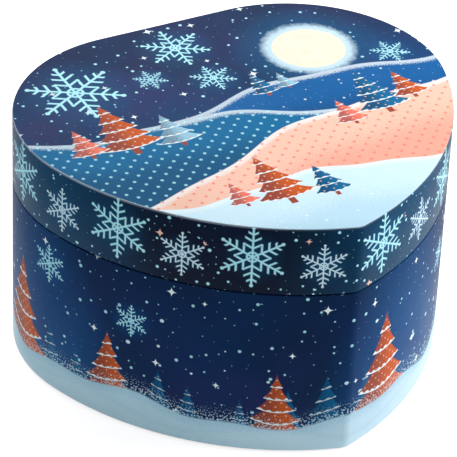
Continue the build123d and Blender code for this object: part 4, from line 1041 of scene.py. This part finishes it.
# Round-headed screws with slots, each turned as it happened to stop
hingeScrew = {"face": 54.8, "head": 1.3, "rise": 0.65, "shank": 0.7, "length": 3.4}
movementScrew = {"face": 54, "head": 2.4, "rise": 1.3, "shank": 1.2, "length": 5.9}
screws = {    # piece: node, body, slot, size, holes, and the turn of each in degrees
    "lidHingeScrews": ("hinge_lid_screws", "lid", "hinge_brass", hingeScrew, "lidHinge", (15, 70, 128, 40)),
    "baseHingeScrews": ("hinge_base_screws", "case", "hinge_brass", hingeScrew, "baseHinge",
                        (95, 22, 60, 150)),
    "movementScrews": ("movement_screws", "case", "key_steel", movementScrew, "movement", (35, 112, 78)),
}
screwShape = {    # shares of the head's radius and rise
    "head": ((1, 0), (0.98, 0.3), (0.86, 0.62), (0.62, 0.86), (0.3, 0.98), (0, 1)), "steps": 36,
    "slotReach": 1.2, "slotHalf": 0.13, "slotFloor": 0.45, "slotTop": 1.5,
}
for name, (node, body, slot, size, holes, turns) in screws.items():
    bm, slots = bmesh.new(), bmesh.new()
    face, head, rise, shank, length = size.values()
    reach, half = head * screwShape["slotReach"], head * screwShape["slotHalf"]
    cutSpan = face + rise * screwShape["slotFloor"], face + rise * screwShape["slotTop"]
    for (x, z), turn in zip(backHoles[holes], turns):
        rim = [(x + share * head, face + lift * rise, z) for share, lift in screwShape["head"]]
        parts = chain(bm, [(x, face - length, z), (x + shank, face - length, z), (x + shank, face, z)] + rim)
        turnRound(bm, parts, (0, 1, 0), (x, 0, z), screwShape["steps"])
        verts = block(slots, (x - reach, x + reach), cutSpan, (z - half, z + half))
        slotTurn = Matrix.Rotation(radians(turn), 3, "Y")
        bmesh.ops.rotate(slots, cent=Vector((x, face, z)) * mm, matrix=slotTurn, verts=verts)
    closeUp(bm)
    carve(makePiece(bm, name, finishes[slot], body, slot, node), slots)
print("screws turned:", len(screws))

# Studio, in metres: pale floor, soft lamps, and a white background for the camera and for reflections
studio = {
    "ambient": (0.325, 0.418, 0.44, 1), "floorColour": (0.82, 0.82, 0.82, 1),
    "floorGlow": (1, 0.915, 0.89, 1), "floorLift": 0.7, "floorReach": 6, "floorZ": -0.00005,
    "aim": (0, 0, 0.05), "lamps": (    # place, size, watts
        ((0.9, -0.35, 0.55), 0.6, 10.5), ((-0.7, -0.75, 0.5), 0.8, 1), ((0.1, 0.7, 0.85), 0.7, 6.5),
    ),
}


def seenBy(finish):    # 1 for the camera and in reflections, 0 for the light that falls on things
    path = finish.add("LightPath", {}, {}, out="Is Camera Ray")
    return path | path.also("Is Glossy Ray") | path.also("Is Transmission Ray")


world = bpy.data.worlds.new("studio")
bpy.context.scene.world = world
world.use_nodes = True
world.node_tree.nodes.clear()
air = Finish(world.node_tree)
backdrop = air.add("Background", {}, {"Color": air.mix(seenBy(air), studio["ambient"], white)})
air.add("OutputWorld", {}, {"Surface": backdrop})

floorFinish = newFinish("paleFloor")
floorGlow = floorFinish.mix(seenBy(floorFinish), black, studio["floorGlow"])
floorFinish.finishWith(studio["floorColour"], 1, {
    "Specular IOR Level": 0, "Emission Color": floorGlow, "Emission Strength": studio["floorLift"]})
bm = bmesh.new()
bmesh.ops.create_grid(bm, x_segments=1, y_segments=1, size=studio["floorReach"],
                      matrix=Matrix.Translation((0, 0, studio["floorZ"])))
mesh = bpy.data.meshes.new("floor")
bm.to_mesh(mesh)
bm.free()
mesh.materials.append(floorFinish.material)
floor = bpy.data.objects.new("floor", mesh)
bpy.context.scene.collection.objects.link(floor)

for index, (place, size, watts) in enumerate(studio["lamps"]):
    light = bpy.data.lights.new(f"lamp{index}", "AREA")
    light.size = size
    light.energy = watts
    lamp = bpy.data.objects.new(f"lamp{index}", light)
    lamp.location = place
    lamp.rotation_euler = (Vector(studio["aim"]) - Vector(place)).to_track_quat("-Z", "Y").to_euler()
    bpy.context.scene.collection.objects.link(lamp)

# Camera: from above the front left of the box, in millimetres and degrees, with a small shift for the frame
view = {"aim": (0, -18.43, 47), "azimuth": -29.88, "elevation": 34.23, "roll": 2.89, "distance": 1069.6,
        "lens": 236, "sensor": 36, "shiftX": -0.0519, "shiftY": 0.0066, "nearest": 50}
azimuth, elevation, roll = (radians(view[name]) for name in ("azimuth", "elevation", "roll"))
back = Vector((sin(azimuth) * cos(elevation), -cos(azimuth) * cos(elevation), sin(elevation)))
level = Vector((cos(azimuth), sin(azimuth), 0))
rise = back.cross(level)
right = level * cos(roll) + rise * sin(roll)
up = rise * cos(roll) - level * sin(roll)
eye = Vector(view["aim"]) + back * view["distance"]
cameraData = bpy.data.cameras.new("camera")
cameraData.lens = view["lens"]
cameraData.sensor_width = view["sensor"]
cameraData.shift_x, cameraData.shift_y = view["shiftX"], view["shiftY"]
cameraData.clip_start = view["nearest"] * mm
camera = bpy.data.objects.new("camera", cameraData)
camera.matrix_world = Matrix((right, up, back)).transposed().to_4x4()
camera.location = eye * mm
bpy.context.scene.collection.objects.link(camera)
bpy.context.scene.camera = camera
bpy.context.scene.view_settings.view_transform = "Standard"
print("studio ready")
